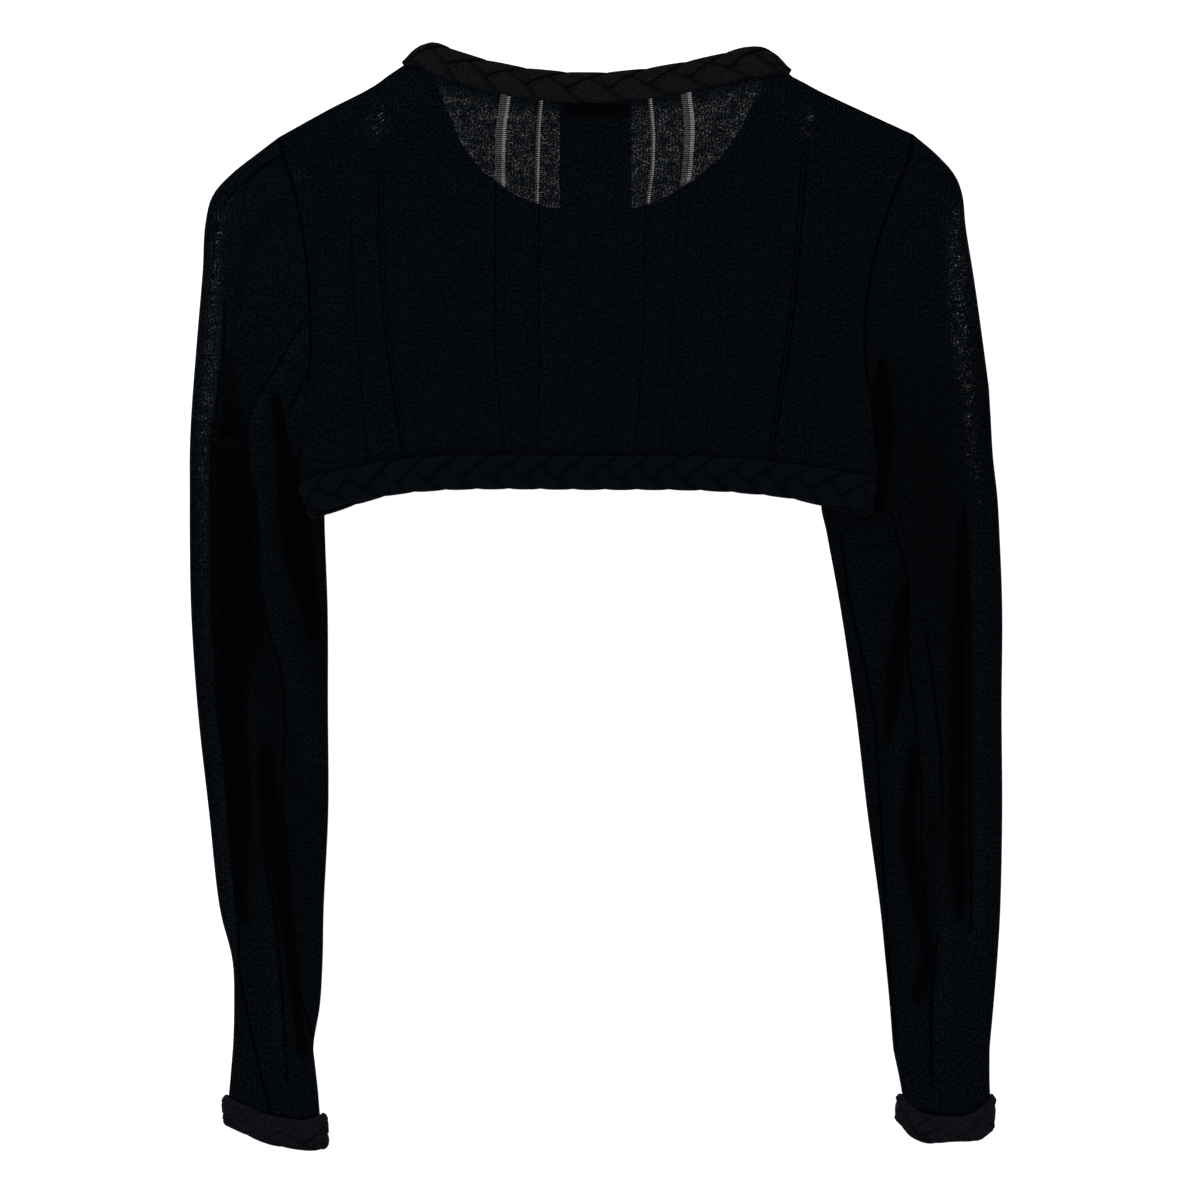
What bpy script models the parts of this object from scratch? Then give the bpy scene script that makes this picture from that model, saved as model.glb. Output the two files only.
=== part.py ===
# A cropped knitted shrug with long sleeves and plaited trims, laid flat with its back up.
# Sizes below are millimetres. +X is to the right of the laid garment, +Y runs from the
# cuffs to the neck and +Z is up from the table, whose surface is z = 0.

import math
from collections import namedtuple

import bmesh
import bpy
from mathutils import Vector

MM = 0.001  # the scene is in metres

# Cloth, seams and the heights at which the layers lie
WALL = 1.2  # one knitted wall
GAP = 0.3  # between sewn pieces and between layers
SEAM_GAP = 0.5  # along a curved seam, where the two pieces' facets differ
BRAID = 4.5  # thickness of a plaited trim
BRAID_HALF = 10.2  # half the width of the hem's trim
NECK_HALF = 9.4  # half the width of the neck's trim
BACK_UNDER = WALL + GAP  # underside of the back where it lies on the front
PRESSED = 2 * WALL + GAP  # a sleeve pressed flat under the body
LOFTED = 4.2  # a sleeve that lies free
BODY_LIFT = PRESSED + GAP  # body where it lies over a sleeve
ON_BRAID = BRAID + GAP  # what lies over a plaited trim
HEM_RISE = 6.0  # underside of the back at the hem's upper trim

# Plait: a lobe is one turn of a strand at an edge, and three lobes are one full plait
HEM_LOBE = 19.2
NECK_LOBE = 24.0
CUFF_LOBE = 19.0
STRAND_SWING = 5.4
STRAND_HALF = 5.2
STRAND_CROSS = 0.9
STRAND_CROWN = 1.6
SWING_PEAK = 0.886  # of sin t + 0.12 sin 3t, which runs along the edge before it turns back

Point = namedtuple("Point", "x y")
SleeveRow = namedtuple("SleeveRow", "y outer inner")
Fold = namedtuple("Fold", "rise width route")

# Body outline
SHOULDER_LEFT = [Point(-190.4, 274.6), Point(-160.0, 291.5), Point(-135.0, 304.4), Point(-117.6, 315.8)]
SHOULDER_RIGHT = [Point(189.8, 276.6), Point(160.0, 290.3), Point(130.0, 304.4), Point(117.6, 310.6)]
ARMHOLE_LEFT = [
    Point(-190.4, 274.6),
    Point(-184.8, 256.0),
    Point(-179.0, 236.0),
    Point(-174.0, 206.0),
    Point(-171.6, 174.0),
    Point(-171.2, 144.0),
    Point(-171.8, 128.0),
]
ARMHOLE_RIGHT = [
    Point(189.8, 276.6),
    Point(188.2, 264.0),
    Point(180.6, 245.4),
    Point(171.8, 221.0),
    Point(164.2, 190.0),
    Point(161.2, 162.0),
    Point(162.4, 131.0),
]
SIDE_LEFT = [Point(-171.8, 128.0), Point(-173.6, 100.0), Point(-176.2, 69.0)]
SIDE_RIGHT = [Point(162.4, 131.0), Point(164.6, 104.0), Point(167.2, 71.0)]
HEM_CENTRE = [
    Point(-177.0, 57.0),
    Point(-156.0, 63.8),
    Point(-126.0, 70.0),
    Point(-90.0, 73.4),
    Point(0.0, 73.6),
    Point(70.0, 72.8),
    Point(113.0, 69.0),
    Point(146.0, 64.0),
    Point(168.6, 59.6),
]
NECK_CENTRE = [
    Point(-115.4, 317.8),
    Point(-108.0, 321.8),
    Point(-98.6, 322.3),
    Point(-84.0, 317.0),
    Point(-50.4, 308.8),
    Point(-25.2, 305.6),
    Point(-0.6, 304.6),
    Point(24.6, 306.4),
    Point(50.4, 310.4),
    Point(74.4, 315.4),
    Point(93.0, 319.4),
    Point(106.0, 318.0),
    Point(116.2, 313.0),
]
# The edge of the front's scoop that lies towards the opening
SCOOP_EDGE = [
    Point(-99.0, 315.0),
    Point(-89.8, 293.5),
    Point(-77.4, 266.6),
    Point(-58.2, 247.0),
    Point(-32.0, 234.2),
    Point(0.0, 231.4),
    Point(30.0, 234.4),
    Point(54.0, 246.0),
    Point(75.0, 262.0),
    Point(88.4, 282.0),
    Point(101.0, 309.0),
]
NECK_TIP = 20.0  # length over which the neck's trim narrows to its folded end
NECK_CROSSING = 24.0  # length at each end where the back trim lies on the front one
NECK_RAMP = 26.0

# Sleeves, from the cuff to the underarm
SLEEVE_ROWS = {
    "left": [
        SleeveRow(-300.0, -220.6, -166.0),
        SleeveRow(-272.0, -217.8, -169.4),
        SleeveRow(-245.0, -217.0, -165.4),
        SleeveRow(-218.0, -218.0, -163.8),
        SleeveRow(-188.0, -225.4, -163.2),
        SleeveRow(-128.0, -232.2, -160.4),
        SleeveRow(-68.0, -238.8, -160.6),
        SleeveRow(-8.0, -242.8, -160.8),
        SleeveRow(38.0, -243.6, -162.5),
        SleeveRow(62.0, -243.6, -163.2),
        SleeveRow(86.0, -243.6, -167.0),
        SleeveRow(106.0, -242.8, -173.5),
        SleeveRow(122.0, -241.8, -172.5),
    ],
    "right": [
        SleeveRow(-300.0, 234.4, 182.0),
        SleeveRow(-272.0, 236.0, 178.2),
        SleeveRow(-245.0, 238.4, 176.0),
        SleeveRow(-218.0, 240.6, 173.4),
        SleeveRow(-188.0, 242.4, 170.4),
        SleeveRow(-128.0, 243.6, 162.4),
        SleeveRow(-68.0, 243.2, 155.4),
        SleeveRow(-8.0, 243.6, 146.6),
        SleeveRow(36.0, 242.0, 138.6),
        SleeveRow(58.0, 240.8, 135.0),
        SleeveRow(84.0, 238.0, 144.0),
        SleeveRow(108.0, 236.6, 165.0),
        SleeveRow(125.0, 235.6, 163.5),
    ],
}
# Outer edge of each sleeve, from the last row above to the shoulder's tip
SLEEVE_HEAD = {
    "left": [
        Point(-241.8, 122.0),
        Point(-238.8, 159.6),
        Point(-235.8, 195.6),
        Point(-234.4, 222.0),
        Point(-230.0, 240.0),
        Point(-218.6, 253.0),
        Point(-204.0, 264.6),
        Point(-190.8, 274.8),
    ],
    "right": [
        Point(235.6, 125.0),
        Point(231.0, 159.6),
        Point(226.4, 192.0),
        Point(221.6, 222.0),
        Point(219.8, 240.0),
        Point(215.4, 252.0),
        Point(204.0, 265.0),
        Point(190.2, 276.8),
    ],
}
ARMHOLE = {"left": ARMHOLE_LEFT, "right": ARMHOLE_RIGHT}
BODY_SIDE = {"left": SIDE_LEFT, "right": SIDE_RIGHT}
HEAD_RINGS = 9  # rings that fan round the underarm
LONG_STRETCH = 45.0  # a longer stretch between rows gets a ring at its middle

# Cuffs: the edge that is sewn to the sleeve, and the free edge
CUFF_SEAM = {
    "left": [
        Point(-224.2, -297.0),
        Point(-214.0, -302.4),
        Point(-200.0, -308.6),
        Point(-184.0, -312.6),
        Point(-170.0, -312.4),
        Point(-161.0, -307.4),
    ],
    "right": [
        Point(237.8, -299.6),
        Point(230.6, -306.6),
        Point(218.0, -310.8),
        Point(204.0, -310.8),
        Point(190.4, -306.2),
        Point(179.6, -298.6),
    ],
}
CUFF_FREE = {
    "left": [
        Point(-222.6, -315.8),
        Point(-211.0, -321.8),
        Point(-196.0, -328.0),
        Point(-182.0, -330.8),
        Point(-170.0, -331.8),
        Point(-161.6, -330.6),
    ],
    "right": [
        Point(237.8, -317.0),
        Point(229.0, -325.0),
        Point(214.0, -326.2),
        Point(197.0, -327.4),
        Point(185.6, -321.0),
        Point(179.2, -311.0),
    ],
}

# The largest lengthwise folds of the sleeves
SLEEVE_FOLDS = {
    "left": [
        Fold(
            1.5, 7.0,
            [Point(-216.0, 184.0), Point(-228.0, 69.6), Point(-228.0, -36.0), Point(-219.6, -122.4)],
        ),
        Fold(1.3, 6.0, [Point(-219.6, -122.4), Point(-213.0, -190.0), Point(-206.0, -262.0)]),
        Fold(
            2.6, 7.0,
            [Point(-181.0, 152.0), Point(-205.0, 108.0), Point(-206.4, 76.0), Point(-200.4, -8.0)],
        ),
        Fold(-1.3, 9.0, [Point(-185.0, 112.0), Point(-184.8, -2.4), Point(-170.0, -60.0)]),
        Fold(1.9, 7.0, [Point(-199.2, -70.0), Point(-196.4, -159.6), Point(-191.0, -196.0)]),
        Fold(
            -1.2, 6.0,
            [Point(-189.0, -46.0), Point(-187.6, -136.0), Point(-180.0, -234.6), Point(-173.0, -280.0)],
        ),
    ],
    "right": [
        Fold(1.5, 7.0, [Point(150.0, 8.0), Point(165.0, -66.6), Point(171.4, -138.0)]),
        Fold(-1.2, 9.0, [Point(178.0, 36.0), Point(188.0, -10.0), Point(190.8, -66.6), Point(196.2, -180.6)]),
        Fold(1.7, 7.0, [Point(220.8, 60.0), Point(223.8, -94.8), Point(222.4, -226.0)]),
        Fold(1.4, 7.0, [Point(206.0, -92.0), Point(205.0, -170.0), Point(203.0, -262.0)]),
    ],
}

# Label inside the back neck
LABEL_WIDTH = 45.0
LABEL_TOP = 294.4
LABEL_BOTTOM = 233.0
LABEL_THICK = 1.0
LABEL_CENTRE = 0.8


def smooth(t):
    t = min(1.0, max(0.0, t))
    return t * t * (3 - 2 * t)


STEPS = 10  # of a curve between two knots


def through(knots, steps=STEPS):
    # A dense polyline on a smooth curve through the knots (centripetal Catmull-Rom).
    p = [Vector((k.x, k.y)) for k in knots]
    p = [2 * p[0] - p[1], *p, 2 * p[-1] - p[-2]]
    line = []
    for i in range(1, len(p) - 2):
        t0 = 0.0
        t1 = t0 + (p[i] - p[i - 1]).length ** 0.5
        t2 = t1 + (p[i + 1] - p[i]).length ** 0.5
        t3 = t2 + (p[i + 2] - p[i + 1]).length ** 0.5
        for s in range(steps):
            t = t1 + (t2 - t1) * s / steps
            a = p[i - 1].lerp(p[i], (t - t0) / (t1 - t0))
            b = p[i].lerp(p[i + 1], (t - t1) / (t2 - t1))
            c = p[i + 1].lerp(p[i + 2], (t - t2) / (t3 - t2))
            d = a.lerp(b, (t - t0) / (t2 - t0))
            e = b.lerp(c, (t - t1) / (t3 - t1))
            line.append(d.lerp(e, (t - t1) / (t2 - t1)))
    line.append(p[-2])
    return line


def length_of(line):
    return sum((b - a).length for a, b in zip(line, line[1:]))


def at(line, fraction):
    # The point at this fraction of a polyline's length.
    left = fraction * length_of(line)
    for a, b in zip(line, line[1:]):
        step = (b - a).length
        if left <= step or b is line[-1]:
            return a.lerp(b, left / step if step else 0.0)
        left -= step
    return line[-1]


def resampled(line, count):
    return [at(line, i / count) for i in range(count + 1)]


def normals(line):
    # Unit normals to the left of the direction of travel.
    found = []
    for i in range(len(line)):
        way = (line[min(i + 1, len(line) - 1)] - line[max(i - 1, 0)]).normalized()
        found.append(Vector((-way.y, way.x)))
    return found


def moved_aside(line, distance):
    return [p + n * distance for p, n in zip(line, normals(line))]


def distance_to(line, point):
    best = 1e9
    for a, b in zip(line, line[1:]):
        ab = b - a
        t = min(1.0, max(0.0, (point - a).dot(ab) / ab.length_squared))
        best = min(best, (point - a - ab * t).length)
    return best


HEM_LINE = resampled(through(HEM_CENTRE), 90)
NECK_LINE = resampled(through(NECK_CENTRE), 60)
SCOOP_LINE = through(SCOOP_EDGE)
FRONT_BRAID_LINE = resampled(moved_aside(SCOOP_LINE, -NECK_HALF), 48)
INNER_EDGE = {
    side: through([Point(row.inner, row.y) for row in rows])
    for side, rows in SLEEVE_ROWS.items()
}


def beyond_edge(side, x, y):
    # How far a point lies outwards of a sleeve's inner edge.
    line = INNER_EDGE[side]
    for a, b in zip(line, line[1:]):
        if a.y <= y <= b.y:
            edge = a.x + (b.x - a.x) * (y - a.y) / max(b.y - a.y, 1e-6)
            return edge - x if side == "left" else x - edge
    return -100.0


def over_sleeve(x, y, spread):
    # 1 where the body lies over a tucked sleeve, easing to 0 on the table. A layer that lies
    # on another one has spread, so that it starts to climb before the lower one does.
    side = "left" if x < 0 else "right"
    row = min(y, 100.0)
    across = smooth((beyond_edge(side, x, row) + 18.0 + spread) / 12.0)
    ease_up = smooth((134.0 + spread - y) / 20.0)
    return across * ease_up


def front_under(x, y):
    return BODY_LIFT * over_sleeve(x, y, 0.0)


def lift_of_second_layer(x, y):
    return BODY_LIFT * over_sleeve(x, y, 6.0)


def hem_top_distance(x, y):
    return distance_to(HEM_LINE, Vector((x, y))) - BRAID_HALF


def back_under(x, y):
    # The back lies on the front, over the front's neck trim and up to the hem's trim.
    point = Vector((x, y))
    from_trim = distance_to(FRONT_BRAID_LINE, point)
    over_trim = 1.0 - smooth((from_trim - NECK_HALF - 3.5) / 12.0)
    up_to_hem = 1.0 - smooth(hem_top_distance(x, y) / 26.0)
    bump = max((ON_BRAID - BACK_UNDER) * over_trim, (HEM_RISE - BACK_UNDER) * up_to_hem)
    return BACK_UNDER + bump + lift_of_second_layer(x, y)


def finish(bm, name, colour, roughness):
    bmesh.ops.recalc_face_normals(bm, faces=bm.faces)
    for face in bm.faces:
        face.smooth = True
    mesh = bpy.data.meshes.new(name)
    bm.to_mesh(mesh)
    bm.free()
    mesh.set_sharp_from_angle(angle=math.radians(40))
    material = bpy.data.materials.new(name)
    material.use_nodes = True
    shader = material.node_tree.nodes["Principled BSDF"]
    shader.inputs["Base Color"].default_value = (*colour, 1.0)
    shader.inputs["Roughness"].default_value = roughness
    shader.inputs["Metallic"].default_value = 0.0
    mesh.materials.append(material)
    obj = bpy.data.objects.new(name, mesh)
    bpy.context.scene.collection.objects.link(obj)
    return obj


def sheet_solid(rows, under, thick):
    # A wall over a grid of plan points: rows of equal length, and its underside's height.
    bm = bmesh.new()
    lower, upper = [], []
    for row in rows:
        heights = [under(p.x, p.y) for p in row]
        lower.append([bm.verts.new((p.x * MM, p.y * MM, z * MM)) for p, z in zip(row, heights)])
        upper.append([bm.verts.new((p.x * MM, p.y * MM, (z + thick) * MM)) for p, z in zip(row, heights)])
    last_row, last = len(rows) - 1, len(rows[0]) - 1
    for i in range(last_row):
        for j in range(last):
            for grid in (lower, upper):
                bm.faces.new((grid[i][j], grid[i][j + 1], grid[i + 1][j + 1], grid[i + 1][j]))
    rim = [(0, j) for j in range(last)]
    rim += [(i, last) for i in range(last_row)]
    rim += [(last_row, j) for j in range(last, 0, -1)]
    rim += [(i, 0) for i in range(last_row, 0, -1)]
    for (i, j), (k, m) in zip(rim, rim[1:] + rim[:1]):
        bm.faces.new((lower[i][j], lower[k][m], upper[k][m], upper[i][j]))
    return bm


def tube_solid(outer, inner):
    # A wall between two sets of rings, open at both ends. The rims join their first rings and their last.
    bm = bmesh.new()

    def rings_of(points):
        return [[bm.verts.new(Vector(p) * MM) for p in ring] for ring in points]

    def bridge(a, b):
        for i in range(len(a)):
            k = (i + 1) % len(a)
            bm.faces.new((a[i], a[k], b[k], b[i]))

    outside, inside = rings_of(outer), rings_of(inner)
    for rings in (outside, inside):
        for a, b in zip(rings, rings[1:]):
            bridge(a, b)
    bridge(outside[0], inside[0])
    bridge(outside[-1], inside[-1])
    return bm


def coons(bottom, top, left, right, us, vs):
    # Plan points that fill four edges. Each edge is a function of a fraction.
    rows = []
    for v in vs:
        row = []
        for u in us:
            ends = bottom(u).lerp(top(u), v)
            side_left = left(v) - bottom(0.0).lerp(top(0.0), v)
            side_right = right(v) - bottom(1.0).lerp(top(1.0), v)
            row.append(ends + side_left * (1 - u) + side_right * u)
        rows.append(row)
    return rows


def joined(*parts):
    # One edge from several: each part is (end fraction, polyline).
    def point(u):
        start = 0.0
        for end, line in parts:
            if u <= end + 1e-9:
                return at(line, (u - start) / (end - start))
            start = end
        return parts[-1][1][-1]

    return point


def neck_half(distance_from_end):
    # The trim narrows to its folded ends.
    return NECK_HALF * (0.22 + 0.78 * smooth(distance_from_end / NECK_TIP))


def neck_lower_edge():
    total = length_of(NECK_LINE)
    found = []
    for i, (p, n) in enumerate(zip(NECK_LINE, normals(NECK_LINE))):
        along = total * i / (len(NECK_LINE) - 1)
        half = neck_half(min(along, total - along))
        found.append(p - n * (half + SEAM_GAP + 2 * GAP))
    return found


def side_edge(side):
    # Up the side to the underarm, then up the armhole to the shoulder's tip.
    hem_end = HEM_LINE[0] if side == "left" else HEM_LINE[-1]
    top_of_trim = Point(hem_end.x, hem_end.y + BRAID_HALF + SEAM_GAP)
    inwards = Vector((GAP if side == "left" else -GAP, 0.0))
    below = [p + inwards for p in through([top_of_trim, *BODY_SIDE[side][1::-1]])]
    above = [p + inwards for p in through(ARMHOLE[side])[::-1]]
    return joined((UNDERARM_SHARE, below), (1.0, above))


def body_rows(top, us, vs):
    hem = moved_aside(HEM_LINE, BRAID_HALF + SEAM_GAP)
    left, right = side_edge("left"), side_edge("right")
    hem[0], hem[-1] = left(0.0), right(0.0)
    return coons(lambda u: at(hem, u), top, left, right, us, vs)


SHOULDER_SHARE = 0.2  # of a panel's columns, at each side
UNDERARM_SHARE = 0.28  # of a panel's rows, below the underarm
KNIT_BLACK = (0.0085, 0.0092, 0.0115)
SLEEVE_BLACK = (0.008, 0.0088, 0.011)
BRAID_BLACK = (0.0105, 0.011, 0.013)
LABEL_BLACK = (0.006, 0.0065, 0.008)


def make_back():
    neck = neck_lower_edge()
    start, end = SHOULDER_SHARE, 1 - SHOULDER_SHARE
    shoulder_left = through(SHOULDER_LEFT)
    shoulder_right = through(SHOULDER_RIGHT)[::-1]
    neck[0], neck[-1] = shoulder_left[-1], shoulder_right[0]
    top = joined((start, shoulder_left), (end, neck), (1.0, shoulder_right))
    us = [0.04 * i for i in range(6)]
    us += [0.2 + 0.6 * i / 22 for i in range(1, 23)]
    us += [0.8 + 0.04 * i for i in range(1, 6)]
    vs = [0.0, 0.04, 0.09, 0.15, 0.21]
    vs += [UNDERARM_SHARE + (1 - UNDERARM_SHARE) * i / 20 for i in range(21)]
    bm = sheet_solid(body_rows(top, us, vs), back_under, WALL)
    finish(bm, "back_panel", KNIT_BLACK, 0.9)


def make_front():
    scoop = moved_aside(FRONT_BRAID_LINE, -(NECK_HALF + SEAM_GAP))
    start, end = SHOULDER_SHARE, 1 - SHOULDER_SHARE
    # The trim takes the last of each shoulder.
    shoulder_left = through(SHOULDER_LEFT)[:-3]
    shoulder_right = through(SHOULDER_RIGHT)[:-3][::-1]
    scoop[0], scoop[-1] = shoulder_left[-1], shoulder_right[0]
    top = joined((start, shoulder_left), (end, scoop), (1.0, shoulder_right))
    us = [0.0, 0.03, 0.06, 0.1, 0.15, 0.2]
    us += [0.2 + 0.6 * i / 24 for i in range(1, 25)]
    us += [0.85, 0.88, 0.91, 0.94, 0.97, 1.0]
    vs = [0.0, 0.07, 0.14, 0.21]
    vs += [UNDERARM_SHARE + (1 - UNDERARM_SHARE) * i / 10 for i in range(11)]
    bm = sheet_solid(body_rows(top, us, vs), front_under, WALL)
    finish(bm, "front_panel", KNIT_BLACK, 0.9)


def fold_height(fold, point):
    line = fold["line"]
    near = distance_to(line, point)
    end = min((point - line[0]).length, (point - line[-1]).length)
    return fold["rise"] * math.exp(-((near / fold["width"]) ** 2)) * smooth(end / 24.0)


def sleeve_top(side, folds, armhole, x, y):
    # The height of a sleeve's upper face: free, pressed by the body, or sewn to it.
    point = Vector((x, y))
    free = LOFTED + sum(fold_height(fold, point) for fold in folds)
    free = max(free, PRESSED)
    if side == "left":
        beside = max(0.0, -186.0 - x)
    else:
        beside = max(0.0, x - 178.0)
    below = max(0.0, 36.0 - y)
    from_body = math.hypot(beside, below) if y < 140.0 else 100.0
    from_seam = distance_to(armhole, point)
    loft = smooth(from_body / 12.0) * smooth((from_seam - 1.0) / 22.0)
    return PRESSED + (free - PRESSED) * loft


# How a sleeve's ring is laid out: distances near the two folded edges, and shares between them
EDGE_STEPS = [0.8, 2.6]
SHARES = [0.1, 0.2, 0.3, 0.4, 0.5, 0.6, 0.7, 0.8, 0.9]


def ring_marks():
    # (share, distance, layer): a place is share of the width plus a distance from the outer edge.
    marks = [(0.0, 0.0, 0)]
    marks += [(0.0, d, 1) for d in EDGE_STEPS]
    marks += [(share, 0.0, 1) for share in SHARES]
    marks += [(1.0, -d, 1) for d in EDGE_STEPS[::-1]]
    marks += [(1.0, 0.0, 0)]
    marks += [(1.0, -d, -1) for d in EDGE_STEPS]
    marks += [(share, 0.0, -1) for share in SHARES[::-1]]
    marks += [(0.0, d, -1) for d in EDGE_STEPS[::-1]]
    return marks


def sleeve_rings(side):
    # (outer end, inner end, cuff bow weight, armhole bow weight) of each ring, from the cuff up.
    rows = SLEEVE_ROWS[side]
    outer = through([Point(row.outer, row.y) for row in rows], STEPS)
    inner = INNER_EDGE[side]
    marks = []
    for i, (row, above) in enumerate(zip(rows, rows[1:])):
        marks.append(STEPS * i)
        if above.y - row.y > LONG_STRETCH:
            marks.append(STEPS * i + STEPS // 2)
    rings = []
    for mark in [*marks, len(inner) - 1]:
        from_cuff = inner[mark].y - rows[0].y
        rings.append([outer[mark], inner[mark], smooth(1.0 - from_cuff / 60.0), 0.0])
    head = through(SLEEVE_HEAD[side])
    armhole_end = Vector(ARMHOLE[side][-1])
    start = inner[-1]
    for i in range(1, HEAD_RINGS + 1):
        share = i / HEAD_RINGS
        turn = share * math.pi / 2
        end = Vector((
            start.x + (armhole_end.x - start.x) * (1 - math.cos(turn)),
            start.y + (armhole_end.y - start.y) * math.sin(turn),
        ))
        rings.append([at(head, share), end, 0.0, smooth((share - 0.25) / 0.75)])
    return rings


def make_sleeve(side):
    seam = [p + Vector((0.0, SEAM_GAP + GAP / 2)) for p in through(CUFF_SEAM[side])]
    armhole = through(ARMHOLE[side])
    folds = [
        {"rise": fold.rise, "width": fold.width, "line": through(fold.route)}
        for fold in SLEEVE_FOLDS[side]
    ]
    rings = sleeve_rings(side)
    # The first ring follows the cuff's seam, set in from its ends, and the last one the armhole.
    first_outer, first_inner = at(seam, 0.07), at(seam, 0.93)
    rings[0][0], rings[0][1] = first_outer, first_inner
    marks = ring_marks()
    outside, inside = [], []
    for outer_end, inner_end, cuff_bow, arm_bow in rings:
        width = (inner_end - outer_end).length
        out_ring, in_ring = [], []
        for share, distance, layer in marks:
            for wall, ring in ((0.0, out_ring), (WALL, in_ring)):
                inset = distance
                if share == 0.0:
                    inset = distance + wall * (1.0 if layer == 0 else 0.5)
                elif share == 1.0:
                    inset = distance - wall * (1.0 if layer == 0 else 0.5)
                u = share + inset / width
                p = outer_end.lerp(inner_end, u)
                p = p + (at(seam, 0.07 + 0.86 * u) - first_outer.lerp(first_inner, u)) * cuff_bow
                p = p + (at(armhole, u) - armhole[0].lerp(armhole[-1], u)) * arm_bow
                top = sleeve_top(side, folds, armhole, p.x, p.y)
                half, middle = (top - 2 * wall) / 2, top / 2
                lift = 0.84 if abs(distance) == EDGE_STEPS[0] else 1.0
                ring.append((p.x, p.y, middle + layer * half * lift))
        outside.append(out_ring)
        inside.append(in_ring)
    finish(tube_solid(outside, inside), f"sleeve_{side}", SLEEVE_BLACK, 0.9)


def strand_places(along, lobe):
    # (across, height) of the three strands of a plait at this distance along it.
    for strand in range(3):
        phase = 2 * math.pi * (along / (3 * lobe) + strand / 3)
        swing = (math.sin(phase) + 0.12 * math.sin(3 * phase)) / SWING_PEAK
        yield STRAND_SWING * swing, STRAND_CROSS * math.sin(2 * phase)


def plait_edges(along, lobe, scale):
    places = [across for across, _ in strand_places(along, lobe)]
    return (min(places) - STRAND_HALF) * scale, (max(places) + STRAND_HALF) * scale


def plait_height(along, across, lobe, scale):
    # The top of the highest strand here, from the plait's middle.
    best = -1.2
    for place, height in strand_places(along, lobe):
        t = (across / scale - place) / STRAND_HALF
        if abs(t) < 1.0:
            best = max(best, height + STRAND_CROWN * math.sqrt(1 - t * t))
    return best


BRAID_MIDDLE = BRAID - STRAND_CROSS - STRAND_CROWN


def make_braid(name, line, half_at, under, lobe, steps, across_marks):
    # A plaited strip along a line: strands in relief above, and a plain flat underside.
    points = resampled(line, steps)
    aside = normals(points)
    total = length_of(points)
    full = STRAND_SWING + STRAND_HALF
    bm = bmesh.new()
    profile = []
    for i, (p, n) in enumerate(zip(points, aside)):
        along = total * i / steps
        scale = half_at(along, total) / full
        low, high = plait_edges(along, lobe, scale)
        base = under(along, total, p)
        place_low, place_high = p + n * low, p + n * high
        section = [
            (place_low, base),
            (place_low, base + BRAID * 0.42),
        ]
        for mark in across_marks:
            across = low + (high - low) * mark
            top = BRAID_MIDDLE + plait_height(along, across, lobe, scale)
            section.append((p + n * across, base + top))
        section.append((place_high, base + BRAID * 0.42))
        section.append((place_high, base))
        profile.append([bm.verts.new((q.x * MM, q.y * MM, z * MM)) for q, z in section])
    count = len(profile[0])
    for a, b in zip(profile, profile[1:]):
        for j in range(count):
            k = (j + 1) % count
            bm.faces.new((a[j], a[k], b[k], b[j]))
    bm.faces.new(profile[0])
    bm.faces.new(profile[-1][::-1])
    finish(bm, name, BRAID_BLACK, 0.85)


def make_neck_braids():
    def back_base(along, total, p):
        from_end = min(along, total - along)
        return ON_BRAID * (1 - smooth((from_end - NECK_CROSSING) / NECK_RAMP))

    make_braid(
        "neck_braid_back",
        NECK_LINE,
        lambda along, total: neck_half(min(along, total - along)),
        back_base,
        NECK_LOBE,
        58,
        [0.12, 0.31, 0.5, 0.69, 0.88],
    )
    make_braid(
        "neck_braid_front",
        FRONT_BRAID_LINE,
        lambda along, total: NECK_HALF,
        lambda along, total, p: 0.0,
        NECK_LOBE,
        48,
        [0.18, 0.5, 0.82],
    )


def make_hem_braids():
    def half(along, total):
        return BRAID_HALF

    make_braid(
        "hem_braid_back",
        HEM_LINE,
        half,
        lambda along, total, p: ON_BRAID + lift_of_second_layer(p.x, p.y),
        HEM_LOBE,
        88,
        [0.12, 0.31, 0.5, 0.69, 0.88],
    )
    make_braid(
        "hem_braid_front",
        HEM_LINE,
        half,
        lambda along, total, p: front_under(p.x, p.y),
        HEM_LOBE,
        52,
        [0.18, 0.5, 0.82],
    )


CUFF_TOP_STEPS = 22
CUFF_UNDER_STEPS = 11
CUFF_ROWS = [0.0, 0.14, 0.32, 0.5, 0.68, 0.86, 1.0]


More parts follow.
